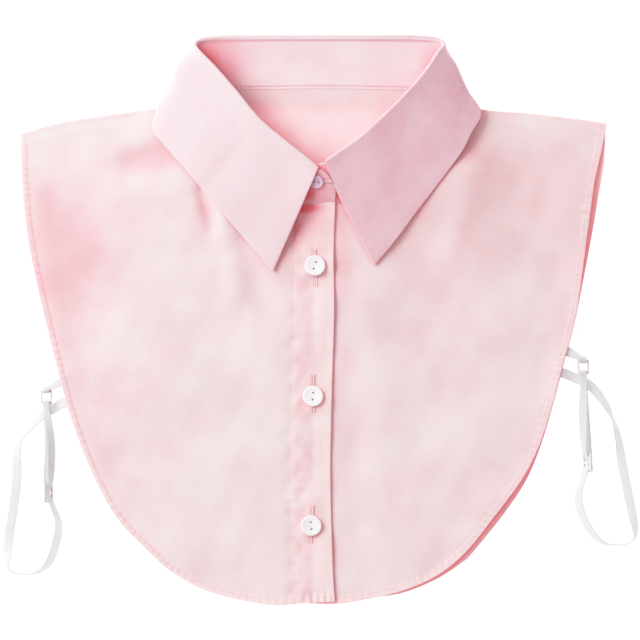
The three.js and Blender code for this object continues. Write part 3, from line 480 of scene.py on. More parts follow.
# Cotton poplin: a fine plain weave with faint slubs, and colour that is a little uneven
def poplin_weave():
    group = bpy.data.node_groups.new("poplin weave", "ShaderNodeTree")
    sockets = [
        ("Vector", "INPUT", "Vector"), ("Threads per metre", "INPUT", "Float"),
        ("Depth", "INPUT", "Float"), ("Normal", "OUTPUT", "Vector"), ("Slub", "OUTPUT", "Float"),
    ]
    for name, way, kind in sockets:
        group.interface.new_socket(name, in_out=way, socket_type=f"NodeSocket{kind}")
    enter = group.nodes.new("NodeGroupInput").outputs
    split = wired(group, "SeparateXYZ", {0: enter["Vector"]})
    waves = []
    for axis in ("X", "Y"):
        inputs = {0: split[axis], 1: enter["Threads per metre"]}
        scaled = wired(group, "Math", inputs, operation="MULTIPLY")[0]
        waves.append(wired(group, "Math", {0: scaled}, operation="SINE")[0])
    threads_up = wired(group, "Math", {0: waves[0], 1: waves[1]}, operation="MULTIPLY")[0]
    stretch = wired(group, "Mapping", {"Vector": enter["Vector"], "Scale": (90, 1400, 90)})[0]
    slub = wired(group, "TexNoise", {"Vector": stretch, "Scale": 1.0, "Detail": 2.0})["Fac"]
    height = wired(group, "Math", {0: threads_up, 1: 0.5, 2: slub}, operation="MULTIPLY_ADD")[0]
    bump = wired(group, "Bump", {"Strength": enter["Depth"], "Distance": 0.00005, "Height": height})[0]
    fill(group, group.nodes.new("NodeGroupOutput"), {"Normal": bump, "Slub": slub})
    return group


WEAVE = poplin_weave()
THREADS = 2 * math.pi * 3700  # to the metre, as an angle
# Painted shade: the dark red that the poplin turns to near other surfaces, and the darker red of its
# deepest painted shade
PAINTED_SHADE_RED = (0.97, 0.2, 0.25)
PAINTED_DEEP_SHADOW = (0.86, 0.11, 0.16)


def poplin(name, pale, deep, reach, painted_shade_strength, painted_shade_half=None):
    """Cotton between a pale and a deep tone, which drift into each other over the cloth. It has
    painted shade: where other surfaces lie within reach its colour turns toward a dark red, as strong
    as painted_shade_strength, and the painted_shade attribute turns it toward the deep tone and,
    past 1, toward a darker red. painted_shade_half is the painted shade of the part of a piece that
    turns away from the lamp, and where along it that begins and ends."""
    material, tree, shader = blank_material(name)
    place = wired(tree, "UVMap", {}, uv_map="cloth")[0]
    weave = wired(
        tree, "Group", {"Vector": place, "Threads per metre": THREADS, "Depth": 0.35}, node_tree=WEAVE)
    drift = wired(tree, "TexNoise", {"Vector": place, "Scale": 36.0, "Detail": 7.0, "Roughness": 0.62})
    tone = stretched(tree, drift["Fac"], 0.38, 0.68, 0.34)
    shade_mask = wired(tree, "Attribute", {}, attribute_name="painted_shade")["Fac"]
    depth = wired(tree, "Math", {0: shade_mask, 1: tone}, operation="ADD", use_clamp=True)[0]
    color = color_mix(tree, depth, pale, deep)
    if painted_shade_half:
        painted_shade_pale, begins, ends = painted_shade_half
        along_it = wired(tree, "SeparateXYZ", {0: place})["X"]
        painted_shade_share = stretched(tree, along_it, begins, ends, interpolation_type="SMOOTHSTEP")
        painted_shade_color = color_mix(tree, depth, painted_shade_pale, deep, "MULTIPLY")
        color = color_mix(tree, painted_shade_share, color, painted_shade_color)
    # Painted shade from the ambient occlusion, then from the painted_shade attribute past 1
    between = wired(tree, "AmbientOcclusion", {"Distance": reach}, samples=2)["AO"]
    color = color_mix(tree, stretched(tree, between, 0.96, 0.3, painted_shade_strength), color, PAINTED_SHADE_RED)
    color = color_mix(tree, stretched(tree, shade_mask, 1.0, 2.0, 0.8), color, PAINTED_DEEP_SHADOW)
    color = color_mix(tree, 0.12, color, weave["Slub"], "SOFT_LIGHT")
    fill(tree, shader, {
        "Roughness": 0.85, "Sheen Weight": 0.15, "Sheen Roughness": 0.5, "Specular IOR Level": 0.2,
        "Subsurface Weight": 0.4, "Subsurface Radius": (1.0, 0.45, 0.5), "Subsurface Scale": 0.002,
        "Base Color": color, "Normal": weave["Normal"],
    })
    return material


SINGLE_POPLIN = poplin("pink poplin, one layer", (0.955, 0.70, 0.712), (0.88, 0.44, 0.48), 0.013, 0.5)


def dress(piece, material, slot, *nodes):
    """Finish of a piece, the part of the frame that it stands for, and what it moves with."""
    piece.data.materials.append(material)
    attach(piece, "root")
    if nodes:
        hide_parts(*nodes)


def shoulder(side, neck, at):
    return along([*places(SHOULDER[side], side), tuple(neck)], at)


def outline(rows, side, start, stop):
    return places(rows[side], side)[start:stop]


# Each column of the back belongs to the left shoulder, the neck or the right shoulder
PANEL_STEP = 1.6
SHOULDER_RUN = 110.0
BACK_RUN = (360.0, 300.0)  # its size across and down
back_neck = neck_edge(OVER_SHOULDER_ROW + 0.5, LAST - OVER_SHOULDER_ROW - 0.5)
part_across = shares(SHOULDER_RUN, PANEL_STEP, (True, False))
middle_across = np.linspace(0, 1, 106)
back_top = np.concatenate([
    shoulder("left", back_neck[0], part_across),
    along(back_neck, middle_across)[1:],
    shoulder("right", back_neck[-1], part_across)[::-1][1:],
])
third = 6 / 22
back_across = np.concatenate([
    part_across * third,
    (third + middle_across * (1 - 2 * third))[1:],
    (1 - part_across * third)[::-1][1:],
])
back_down = shares(BACK_RUN[1], PANEL_STEP)
back_hem_line = []
back_sides = []
for side, corner in BACK_LOWER_CORNER.items():
    back_hem_line += outline(BACK_EDGE, side, corner, None)[:: -SIGN[side]]
    back_sides.append(along(outline(BACK_EDGE, side, 0, corner + 1), back_down))
back_left, back_right = back_sides
back_hem = along(back_hem_line, back_across)
back_places = patch(back_top, back_hem, back_left, back_right, back_across, back_down)
x, y = back_places[..., 0], back_places[..., 1]
back_rim = np.concatenate([back_left, back_hem[1:-1], back_right[::-1]])
far, run = edge_finder(back_rim)(x, y)
turned, sway = hem_relief(far, run, 3)
grid = np.stack([x, y, back_middle(x, y) + 0.05 + 0.5 * np.maximum(sway, 0)], axis=-1)
full = np.outer(rounding(back_down * BACK_RUN[1]), rounding(back_across * BACK_RUN[0])) * LAYER / 2
# Painted shade on the back where it shows inside the collar: two soft spots, deeper towards its neck edge
painted_shade = spots(x, y, [(-2, -50, 16, 16, 0.22), (-50, -8, 22, 12, 0.2)]) + 0.3 * smooth((y + 13) / 8)
bib_back = cloth_sheet("bib_back", grid, full + turned * full * 4, full, back_places, True, painted_shade)
dress(bib_back, SINGLE_POPLIN, "cotton", "back_panel")


# The right front
# Cut from the same poplin, with a curved and hemmed edge like the back's, and sewn to the back
# along the shoulder. Its own edge at the centre runs down under the placket.
UNDERLAP = 14.0
SHOULDER_SHARE = 6 / 16  # of a front's columns
FRONT_STEP = 1.4
shoulder_columns = shares(SHOULDER_RUN, FRONT_STEP, (True, False)) * SHOULDER_SHARE


def front_columns(centre_steps):
    """Shares of the columns from the shoulder tip to the centre front, closer at the centre."""
    return np.concatenate([shoulder_columns, SHOULDER_SHARE + (1 - SHOULDER_SHARE) * centre_steps[1:]])


def front_top(side, neck, columns):
    on_shoulder = columns <= SHOULDER_SHARE + 1e-9
    part = shoulder(side, neck[0], columns[on_shoulder] / SHOULDER_SHARE)
    rest = along(neck, (columns[~on_shoulder] - SHOULDER_SHARE) / (1 - SHOULDER_SHARE))
    return np.concatenate([part, rest])


def shoulder_roll(z, x, y, far):
    """The front turns down to the back along the shoulder, further from the neck than near it."""
    target = back_middle(x, y) + LAYER
    away = smooth((np.abs(x) - HALF_NECK - 1) / 10)
    return z - (z - target) * (1 - smooth(far / 7)) * away


def shoulder_seam(x, far):
    """The back comes over the shoulder to a seam that is further down the nearer it is to the neck."""
    down = 4.4 * smooth((128 - np.abs(x)) / 24)
    return 0.34 * (1 - smooth((far - down) / 0.7)) * (down > 0.2)


def front_grid(side, plan, extra):
    """Middle places of a front and its hem's rise: plan is its places, extra its own relief."""
    x, y = plan[..., 0], plan[..., 1]
    z = front_middle(x, y, side == "left") + extra(x, y)
    far_up, _ = edge_finder(plan[0, : len(shoulder_columns)])(x, y)
    z = shoulder_roll(z, x, y, far_up)
    far, run = edge_finder(np.concatenate([plan[:, 0], plan[-1, 1:]]))(x, y)
    turned, sway = hem_relief(far, run, 7 if side == "left" else 9)
    room = smooth(far_up / 12)
    z = np.maximum(z + sway * room, FLOOR_LAYER + 1.1)
    return np.stack([x, y, z], axis=-1), turned * room + shoulder_seam(x, far_up)


# Painted shade on the fronts, in soft spots by the collar, the placket, the folds and the sides: x, y, half
# its width and height, share
PAINTED_SHADE_PLACES = [
    (-158, -94, 44, 48, 0.74), (-104, -39, 20, 9, 0.9), (-70, -70, 7, 12, 0.4),
    (-128, -190, 40, 36, 0.2), (-4, -74, 12, 12, 0.7), (-9, -68.5, 9, 3, 1.8),
    (-14, -80, 4, 10, 0.6), (-24, -84, 9, 22, 0.5), (15, -86, 7, 30, 0.6),
    (14, -160, 7, 50, 0.25), (94, -34, 12, 9, 0.5), (88, -20, 12, 16, 0.3),
    (20, -200, 12, 40, 0.12), (58, -62, 14, 26, 0.25), (118, -58, 62, 40, 0.36),
    (70, -120, 50, 50, 0.2), (-40, -90, 24, 40, 0.25), (60, -260, 60, 30, 0.1),
]


def front_painted_shade(plan, turned):
    """Painted shade on a front, up to 2 in the deepest place: in its fold valleys, at the painted shade
    places, and a little on the hem, where turned is 1.
    """
    x, y = plan[..., 0], plan[..., 1]
    fold_shade = 0.1 * smooth(0.2 - 0.3 * fold_relief(x, y)) + 0.04 * turned
    return np.clip(fold_shade + spots(x, y, PAINTED_SHADE_PLACES), 0, 2)


def front_plan(side, neck, centre, columns, rows):
    """Places of a front from its neck and centre edges, and its outline from shoulder to centre."""
    corner = LOWER_CORNER[side]
    hem = along([*outline(FRONT_EDGE, side, corner, None), centre[-1]], columns)
    outer = along(outline(FRONT_EDGE, side, 0, corner + 1), rows)
    top = front_top(side, neck, columns)
    return patch(top, hem, outer, centre, columns, rows), np.concatenate([outer, hem[1:]])


right_columns = front_columns(shares(130, 1.5, (False, True)))
RIGHT_RUN = (240.0, 300.0)
right_rows = shares(RIGHT_RUN[1], FRONT_STEP)
right_neck = neck_edge(LAST - FRONT_ROWS + 1, LAST)
right_neck = np.vstack([right_neck, (-UNDERLAP, right_neck[-1, 1] - 0.3)])
under_edge = along([right_neck[-1], (-UNDERLAP, -0.995 * BODY_LENGTH)], right_rows)
right_plan, right_outline = front_plan("right", right_neck, under_edge, right_columns, right_rows)
grid, rise = front_grid("right", right_plan, lambda x, y: 0 * x)
full = np.outer(rounding(right_rows * RIGHT_RUN[1]), rounding(right_columns * RIGHT_RUN[0])) * LAYER / 2
above = full + rise * full * 4
painted_shade = front_painted_shade(right_plan, rise / HEM_RISE)
grid, above, full, uv, painted_shade = [part[:, ::-1] for part in (grid, above, full, right_plan, painted_shade)]
bib_right = cloth_sheet("bib_front_right", grid, above, full, uv, True, painted_shade)
dress(bib_right, SINGLE_POPLIN, "cotton", "front_panel_right")


# The left front and its placket
# Its centre edge is folded back twice into a placket of three layers, stitched along its inner
# side. The thread draws the cloth up, the buttons pull it down, and its folded edge stands up.
PLACKET = 23.6  # width from the folded edge to the stitches
PLACKET_EDGE = [
    (1.07, 0.21), (0.95, 0.31), (0.99, 0.41), (0.81, 0.6), (0.73, 0.74), (0.9, 0.93), (1.01, 0.993)]
BUTTON_PLACES = [(-3.1, -104.2), (-4.34, -185.1), (-5.4, -265.4)]

left_neck = neck_edge(0, FRONT_ROWS - 1)[::-1]
left_neck = np.vstack([left_neck, (PLACKET_EDGE[0][0] * OVERLAP, left_neck[-1, 1] + 0.3)])
placket_line = [left_neck[-1], *[(sway * OVERLAP, -down * BODY_LENGTH) for sway, down in PLACKET_EDGE[1:]]]
LEFT_RUN = (250.0, 310.0)
PLACKET_REACH = 31.0  # the columns are closer together from here to the edge
coarse = np.linspace(0, 1 - PLACKET_REACH / (LEFT_RUN[0] / 2), 58)
fine = coarse[-1] + (1 - coarse[-1]) * shares(PLACKET_REACH, 0.75, (False, True))
left_columns = front_columns(np.concatenate([coarse, fine[1:]]))
left_rows = shares(LEFT_RUN[1], 1.35)
placket_edge = along(placket_line, left_rows)
left_plan, left_outline = front_plan("left", left_neck, placket_edge, left_columns, left_rows)
from_placket, placket_run = edge_finder(placket_edge)(left_plan[..., 0], left_plan[..., 1])


def placket_relief(x, y):
    """Sway of the placket: its edge stands up, its stitches pucker, each button pulls it down."""
    far, run = from_placket, placket_run
    inside = smooth((PLACKET + 14 - far) / 14)
    along_it = 0.5 + 0.5 * np.sin(run / 12.8 + 2.3)
    relief = 0.2 * smooth((5.0 - far) / 5.0) + 0.25 * ripple(x * 0.3, y, 26, 21) * smooth((12 - far) / 10)
    relief += 0.2 * puckers(run, 17, 6.6) * ridge(far, PLACKET, 4.0)
    relief += 0.3 * ripple(x, 0.8 * y, 10, 27, 11) * ridge(far, PLACKET - 3, 8.0)
    relief += 0.16 * puckers(run, 19, 8.5) * ridge(far, 12, 7.0)
    relief -= 0.55 * along_it * ridge(x, -4.2, 3.6) * inside
    relief -= 0.15 * ridge(far, PLACKET + 2.6, 2.8)
    for i, (button_x, button_y) in enumerate(BUTTON_PLACES):
        away = np.hypot(x - button_x, y - button_y)
        turn = np.arctan2(y - button_y, x - button_x)
        rays = np.cos(3 * turn + i) + 0.6 * np.cos(5 * turn + 2.1 * i)
        relief += 0.3 * rays * ridge(away, 11, 5.5) - 0.55 * ridge(away, 0, 8.5)
    return relief * smooth(placket_run / 8)


grid, rise = front_grid("left", left_plan, placket_relief)
folded = 1 - smooth((from_placket - PLACKET + 0.7) / 1.3)
stitched = 0.22 * ridge(from_placket, PLACKET + 0.9, 0.8)
full = np.outer(rounding(left_rows * LEFT_RUN[1]), rounding(left_columns * LEFT_RUN[0], 0.7)) * LAYER / 2
x, y = left_plan[..., 0], left_plan[..., 1]
# Painted shade on the placket: blotches by its stitches and beside each button, where puckers and the
# buttons' pull shade the cloth
pucker_shade = 0.5 + 0.5 * np.tanh(1.6 * ripple(x, 0.55 * y, 11, 33, 12))
shade_by_buttons = [(button_x - 5, button_y - 7, 11, 11, 0.22) for button_x, button_y in BUTTON_PLACES]
placket_shade = pucker_shade * (0.3 * ridge(from_placket, PLACKET - 2, 6.5) + spots(x, y, shade_by_buttons))
above = full * (1 + 4 * rise + 1.5 * folded) - stitched * LAYER / 2
painted_shade = front_painted_shade(left_plan, np.clip(rise / HEM_RISE, 0, 1)) + placket_shade
bib_left = cloth_sheet("bib_front_left", grid, above, full * (1 + folded), left_plan, True, painted_shade)
dress(bib_left, SINGLE_POPLIN, "cotton", "front_panel_left")


# The collar band
# Two layers of poplin with a stiffener between them, sewn over the neck edges of the bib. Its
# left end laps over the right one, rounded at the top, and shows between the collar's points.
BAND_BOW = 0.8
BAND_HALF = 0.62  # half its thickness
TOP_SEAM = 0.93  # share of the band's height, as FOOT_SEAM
FOOT_SEAM = 0.06
BAND_ENDS = {
    "left": OVERLAP * 1.08 + COLLAR_LEFT[0][0] * HALF_NECK,
    "right": UNDERLAP + COLLAR_RIGHT[0][0] * HALF_NECK,
}
BAND_RIM = RIM[:-1] / STAND_HEIGHT
BAND_ROWS = np.concatenate([BAND_RIM, np.linspace(0.03, 0.97, 24), 1 - BAND_RIM[::-1]])


def band_line(foot, head, out):
    share = BAND_ROWS[None, :, None]
    flat = foot[:, None] * (1 - share) + head[:, None] * share
    return flat + BAND_BOW * np.sin(np.pi * share) * out[:, None]


def band_end(slices, at, side):
    """The end past the centre front, from the collar outwards."""
    reach = BAND_ENDS[side]
    direction = -SIGN[side]
    far = 1 - RIM[::-1] / reach
    beyond = np.concatenate([np.linspace(0, far[0], 16)[1:-1], far])
    foot = slices.seam[at] + np.outer(beyond * reach, [direction, 0.02 * direction, 0])
    top = slices.top[at] - 0.3 * slices.up[at]
    slant = 0.4 * abs(top[0] - slices.seam[at][0])
    head = top + np.outer(beyond * (reach - slant), [direction, 0, 0])
    height = 0.3 + 0.7 * (1 - beyond**1.6) ** 0.6
    head = foot + (head - foot) * height[:, None]
    out = np.repeat(slices.out[at][None], len(beyond), axis=0)
    return band_line(foot, head, out), beyond * reach


band_slices = Slices(np.linspace(0, LAST, 330))
band_foot = band_slices.seam - 0.5 * band_slices.up
band_middle = band_line(band_foot, band_slices.top - 0.3 * band_slices.up, band_slices.out)
left_end, left_reach = band_end(band_slices, 0, "left")
right_end, right_reach = band_end(band_slices, -1, "right")
grid = np.concatenate([left_end[::-1], band_middle, right_end])
band_run = run_length(band_slices.roll)
band_length = np.concatenate([-left_reach[::-1], band_run, band_run[-1] + right_reach])
full = np.outer(rounding(band_length - band_length[0]), rounding(BAND_ROWS * STAND_HEIGHT)) * BAND_HALF
# Painted shade on the band, inside the neck at the left and between the collar's points: x, y, half its
# size each way, height
SHADED = [(-68, 22, 19, 24, 1.2), (2, -60, 14, 16, 0.8), (-9, -60, 6, 4.5, 1.7)]
shaded = spots(grid[..., 0], grid[..., 1], SHADED)
band_uv = np.stack(np.broadcast_arrays(band_length[:, None], BAND_ROWS[None] * STAND_HEIGHT), axis=-1)
collar_band = cloth_sheet("collar_band", grid, full, full, band_uv, painted_shade=shaded)
# The band's cloth takes painted shade near other surfaces almost twice as strongly as the one-layer poplin
BAND_POPLIN = poplin("pink poplin, band", (0.90, 0.67, 0.705), (0.83, 0.40, 0.45), 0.015, 0.9)
dress(collar_band, BAND_POPLIN, "cotton", "collar_stand")


# The collar leaf
# Two stiffened layers turned out at the edges, which come out of the top of the band, turn over
# at the roll line and fall to two points on the bib. Behind the neck it lies flat on the floor.
LEAF_HALF = 0.5
LEAF_INSIDE = 2.2  # it starts this far down inside the band


def leaf_slices():
    front = np.linspace(0, LAST, 300)
    length = run_length(on_curve(roll_line, front))
    ends = shares(length[-1], 1.35)
    return Slices(np.interp(ends * length[-1], length, front)), ends * length[-1]


leaf, leaf_run = leaf_slices()
turns = np.linspace(0, np.pi, 11)[None, :, None]
start = leaf.top - LEAF_INSIDE * leaf.up
down_inside = start[:, None] + (leaf.top - start)[:, None] * np.linspace(0, 0.8, 3)[None, :, None]
rolled = (
    leaf.centre[:, None]
    - ROLL_RADIUS * np.cos(turns) * leaf.out[:, None]
    + ROLL_RADIUS * np.sin(turns) * leaf.up[:, None]
)
outer = rolled[:, -1]
reach = np.linalg.norm(outer - leaf.edge, axis=1)
level = leaf.up * [1, 1, 0.3]
hold = outer - 0.3 * reach[:, None] * level
straight = outer + 0.3 * (leaf.edge - outer)
facing_up = np.maximum(leaf.out[:, 2], 0.3)
sloping = outer[:, 2] - ((straight - outer)[:, :2] * leaf.out[:, :2]).sum(axis=1) / facing_up
straight[:, 2] = np.maximum(sloping, 0.6 * leaf.edge[:, 2] + 0.4 * outer[:, 2])
open_front = smooth((leaf.out[:, 2] - 0.35) / 0.3)[:, None]
hold = hold + open_front * (straight - hold)
land = leaf.edge + 0.3 * (outer - leaf.edge)
fall_at = shares(60, 1.35, (False, True))[1:][None, :, None]
fall = (
    (1 - fall_at) ** 3 * outer[:, None]
    + 3 * (1 - fall_at) ** 2 * fall_at * hold[:, None]
    + 3 * (1 - fall_at) * fall_at**2 * land[:, None]
    + fall_at**3 * leaf.edge[:, None]
)
bow = np.sin(np.pi * np.clip(fall_at[0, :, 0], 0, 1) ** 0.7)
near_left = ridge(leaf_run, 0, 9)
near_right = ridge(leaf_run, leaf_run[-1], 9)
fall[..., 0] -= 1.6 * np.outer(near_right, bow)
standing = smooth(fall_at[0, :, 0] / 0.07) * (1 - smooth((fall_at[0, :, 0] - 0.12) / 0.7))
fall[..., 2] += 1.2 * np.outer(near_left, standing)
# Where the leaf turns down outside the neck: x, y, half its size, how far it stands out
TURNS = [(-84, 18, 12, -3.4, 2.0), (83, 20, 8, 1.4, 0.7), (93, 2, 8, -1.0, -0.5)]
below_roll = smooth(fall_at[0, :, 0] / 0.16)[None]
for place_x, place_y, half, out_x, out_y in TURNS:
    near = below_roll * spots(fall[..., 0], fall[..., 1], [(place_x, place_y, half, half, 1.0)])
    fall[..., 0] += near * out_x
    fall[..., 1] += near * out_y
resting = front_middle(fall[..., 0], fall[..., 1], leaf.left[:, None]) + LEAF_LAY
floor_of_leaf = np.where(leaf.front[:, None], resting, FLOOR_LAYER)
fall[..., 2] = np.maximum(fall[..., 2], floor_of_leaf)
grid = np.concatenate([down_inside, rolled, fall], axis=1)
depth = np.concatenate([
    [0, 0.9, 1.8], LEAF_INSIDE + ROLL_RADIUS * turns.ravel(), 8.2 + 60 * fall_at.ravel()])
near_ends = rounding(leaf_run)
near_edge = np.minimum(1, rounding(depth) + (depth < 4))
full = np.outer(near_ends, near_edge) * LEAF_HALF
leaf_uv = np.stack(np.broadcast_arrays(leaf_run[:, None], depth[None]), axis=-1)
collar_leaf = cloth_sheet("collar_fall", grid, full, full, leaf_uv)
# Painted shade on the leaf: its cloth is a darker copy of the poplin, which tones down the lamp on it, and
# its right half, which turns away from the lamp, is darker still
PAINTED_SHADE_RIGHT_HALF = ((0.765, 0.505, 0.555), 0.2, 0.29)
LEAF_POPLIN = poplin(
    "pink poplin, leaf", (0.83, 0.615, 0.65), (0.75, 0.47, 0.52), 0.01, 0.55, PAINTED_SHADE_RIGHT_HALF)
dress(collar_leaf, LEAF_POPLIN, "cotton", "collar_leaf")


# The front buttons
# Three two-hole buttons of pressed white plastic, flat with a soft rim. Each is sewn through the
# placket with a few turns of thread, coloured grey in its holes as painted shade, and a little turned.
BUTTON = 12.7
BUTTON_THICKNESS = 2.2
HOLE = 1.4
HOLE_SPACING = 4.3
BUTTON_LIFT = 0.1  # between a button and the cloth
HOLE_TURNS = [-20, -5, 6]  # degrees that the line through a button's holes is turned


def drop_on(*pieces):
    """Function that drops a place x, y on to the topmost of the pieces: where, and its facing."""
    depsgraph = bpy.context.evaluated_depsgraph_get()
    trees = [BVHTree.FromObject(piece, depsgraph) for piece in pieces]

    def drop(x, y):
        start = Vector((x + NECK_SIDE[0], y + NECK_SIDE[1], 500)) * MM
        hits = [tree.ray_cast(start, Vector((0, 0, -1))) for tree in trees]
        place, facing = max((hit[:2] for hit in hits if hit[0] is not None), key=lambda hit: hit[0].z)
        return np.array(place) / MM - NECK_SIDE, np.array(facing)

    return drop


def apply(piece, kind, **settings):
    """Puts a modifier on the piece and applies it."""
    bpy.ops.object.select_all(action="DESELECT")
    piece.select_set(True)
    bpy.context.view_layer.objects.active = piece
    modifier = piece.modifiers.new(kind.lower(), kind)
    for setting, value in settings.items():
        setattr(modifier, setting, value)
    bpy.ops.object.modifier_apply(modifier=modifier.name)


def cut(piece, cutter):
    """Takes the cutter out of the piece and removes it."""
    apply(piece, "BOOLEAN", object=cutter, operation="DIFFERENCE", solver="EXACT")
    bpy.data.objects.remove(cutter)


def rounded(piece, radius, segments, angle):
    """Rounds the edges of the piece that turn by more than the angle."""
    limit = {"limit_method": "ANGLE", "angle_limit": math.radians(angle)}
    apply(piece, "BEVEL", width=radius * MM, segments=segments, **limit)


def primitive(add, **sizes):
    """New plain mesh, alone in the selection."""
    bpy.ops.object.select_all(action="DESELECT")
    add(**sizes)
    return bpy.context.object


def choose(piece, kind, wanted):
    """Edit mode, with the wanted faces or edges of the piece selected."""
    bpy.ops.object.mode_set(mode="EDIT")
    bpy.ops.mesh.select_mode(type=kind)
    edited = bmesh.from_edit_mesh(piece.data)
    for part in edited.faces if kind == "FACE" else edited.edges:
        part.select_set(wanted(part))
    bmesh.update_edit_mesh(piece.data)


def put(piece, name, matrix):
    """Puts a made piece in its place, smooth with creases at its sharp edges, under its own name."""
    piece.data.transform(matrix)
    piece.data.polygons.foreach_set("use_smooth", np.ones(len(piece.data.polygons), dtype=bool))
    piece.data.set_sharp_from_angle(angle=math.radians(38))
    piece.name = name
    piece.data.name = name
    return piece


def button(name, diameter, thickness, spacing, matrix):
    """Two-hole button: a disc with its middle pressed in, its edges rounded and its holes drilled."""
    cylinder = bpy.ops.mesh.primitive_cylinder_add
    disc = primitive(cylinder, vertices=72, radius=diameter / 2 * MM, depth=thickness * MM)
    choose(disc, "FACE", lambda face: face.normal.z > 0.9)
    bpy.ops.mesh.inset(thickness=0.1 * diameter * MM)
    bpy.ops.mesh.inset(thickness=0.05 * diameter * MM)
    bpy.ops.transform.translate(value=(0, 0, -0.11 * thickness * MM))
    bpy.ops.object.mode_set(mode="OBJECT")
    rounded(disc, 0.3 * thickness, 5, 60)
    for end in (-1, 1):
        drill = primitive(cylinder, vertices=28, radius=HOLE / 2 * MM, depth=4 * thickness * MM)
        drill.data.transform(Matrix.Translation((0, end * spacing / 2 * MM, 0)))
        cut(disc, drill)
    rounded(disc, 0.12, 3, 60)
    return put(disc, name, matrix)


def seat(drop, x, y, reach, height, turn):
    """Matrix of something that lies on the cloth at x, y, tilted with it and turned."""
    around = [drop(x + reach * math.cos(a), y + reach * math.sin(a)) for a in np.linspace(0, 2 * np.pi, 12)]
    place = np.mean([place for place, _ in around], axis=0)
    facing = Vector(np.mean([facing for _, facing in around], axis=0)).normalized()
    place = Vector(((x + NECK_SIDE[0]), (y + NECK_SIDE[1]), place[2])) + height * facing
    tilt = Vector((0, 0, 1)).rotation_difference(facing).to_matrix().to_4x4()
    return Matrix.Translation(place * MM) @ tilt @ Matrix.Rotation(math.radians(turn), 4, "Z")


def grainy(name, pale, deep, grain, roughness, bump, subsurface=0.0):
    """Material whose tone, roughness and surface vary with a fine grain, so many to the metre."""
    material, tree, shader = blank_material(name)
    place = wired(tree, "TexCoord", {})["Object"]
    noise = wired(tree, "TexNoise", {"Vector": place, "Scale": grain, "Detail": 4.0})["Fac"]
    rough = wired(tree, "MapRange", {"Value": noise, "To Min": roughness - 0.1, "To Max": roughness + 0.1})
    uneven = wired(tree, "Bump", {"Strength": bump, "Distance": 0.0001, "Height": noise})
    fill(tree, shader, {
        "Subsurface Weight": subsurface, "Subsurface Scale": 0.001, "Roughness": rough[0],
        "Base Color": color_mix(tree, noise, pale, deep), "Normal": uneven[0],
    })
    return material


def threads(name, ends, radius, material):
    """Piece of rounded rods of thread between pairs of ends, each a little arched."""
    starts, stops = np.moveaxis(np.array(ends), 1, 0)
    run = stops - starts
    side = unit(np.cross(run, [0, 0, 1.0]) + 1e-9)
    up = unit(np.cross(side, run))
    at = np.array([0.0, 0.06, 0.25, 0.5, 0.75, 0.94, 1.0])
    size = radius * np.array([0.35, 0.8, 1.0, 1.0, 1.0, 0.8, 0.35])
    around = np.arange(6) * np.pi / 3
    arch = 0.7 * radius * np.sin(np.pi * at)
    middle = starts[:, None] + run[:, None] * at[:, None] + up[:, None] * arch[:, None]
    spokes = side[:, None] * np.cos(around)[:, None] + up[:, None] * np.sin(around)[:, None]
    vertices = middle[:, :, None] + spokes[:, None] * size[:, None, None]
    rings, corners = np.meshgrid(np.arange(6), np.arange(6), indexing="ij")
    a = (rings * 6 + corners).ravel()
    b = (rings * 6 + (corners + 1) % 6).ravel()
    one = np.concatenate([
        np.stack([a, a + 6, b + 6, b], -1),
        [(0, 1, 2, 3), (0, 3, 4, 5), (39, 38, 37, 36), (41, 40, 39, 36)],
    ])
    faces = one[None] + 42 * np.arange(len(starts))[:, None, None]
    dress(add_mesh(name, vertices.reshape(-1, 3), faces.reshape(-1, 4)), material, "cotton")


WHITE_PLASTIC = grainy("white button", (0.97, 0.955, 0.965), (0.93, 0.915, 0.925), 420, 0.28, 0.05, 0.3)
# Painted shade: the thread in the buttons' holes is grey, for the shade of the holes
HOLE_SHADE_THREAD = grainy("hole shade thread", (0.55, 0.49, 0.54), (0.42, 0.37, 0.42), 4000, 0.8, 0.5)
on_placket = drop_on(bib_left)
button_thread_ends = []


def sewn_on(matrix, thickness, spacing):
    """Strands of thread deep in the holes of a button with this matrix, coloured grey as painted shade of
    the holes.
    """
    for end in (-1, 1):
        for shift in (-0.36, -0.12, 0.12, 0.36):
            middle = end * spacing / 2 + shift
            ends = [Vector((across, middle, -0.12 * thickness)) * MM for across in (-0.62, 0.62)]
            button_thread_ends.append([np.array(matrix @ end) / MM - NECK_SIDE for end in ends])


for i, (x, y) in enumerate(BUTTON_PLACES):
    matrix = seat(on_placket, x, y, 4.5, BUTTON_THICKNESS / 2 + BUTTON_LIFT, HOLE_TURNS[i])
    disc = button(f"button_{i + 1}", BUTTON, BUTTON_THICKNESS, HOLE_SPACING, matrix)
    dress(disc, WHITE_PLASTIC, "button", f"front_button_{i + 1}")
    sewn_on(matrix, BUTTON_THICKNESS, HOLE_SPACING)


# The collar button
# A smaller button of the same kind on the band, partly under the left point of the collar. Its
# plastic is coloured a darker lilac, painted shade of the collar.
COLLAR_BUTTON = 8.6
COLLAR_BUTTON_THICKNESS = 1.2
COLLAR_HOLE_SPACING = 3.0
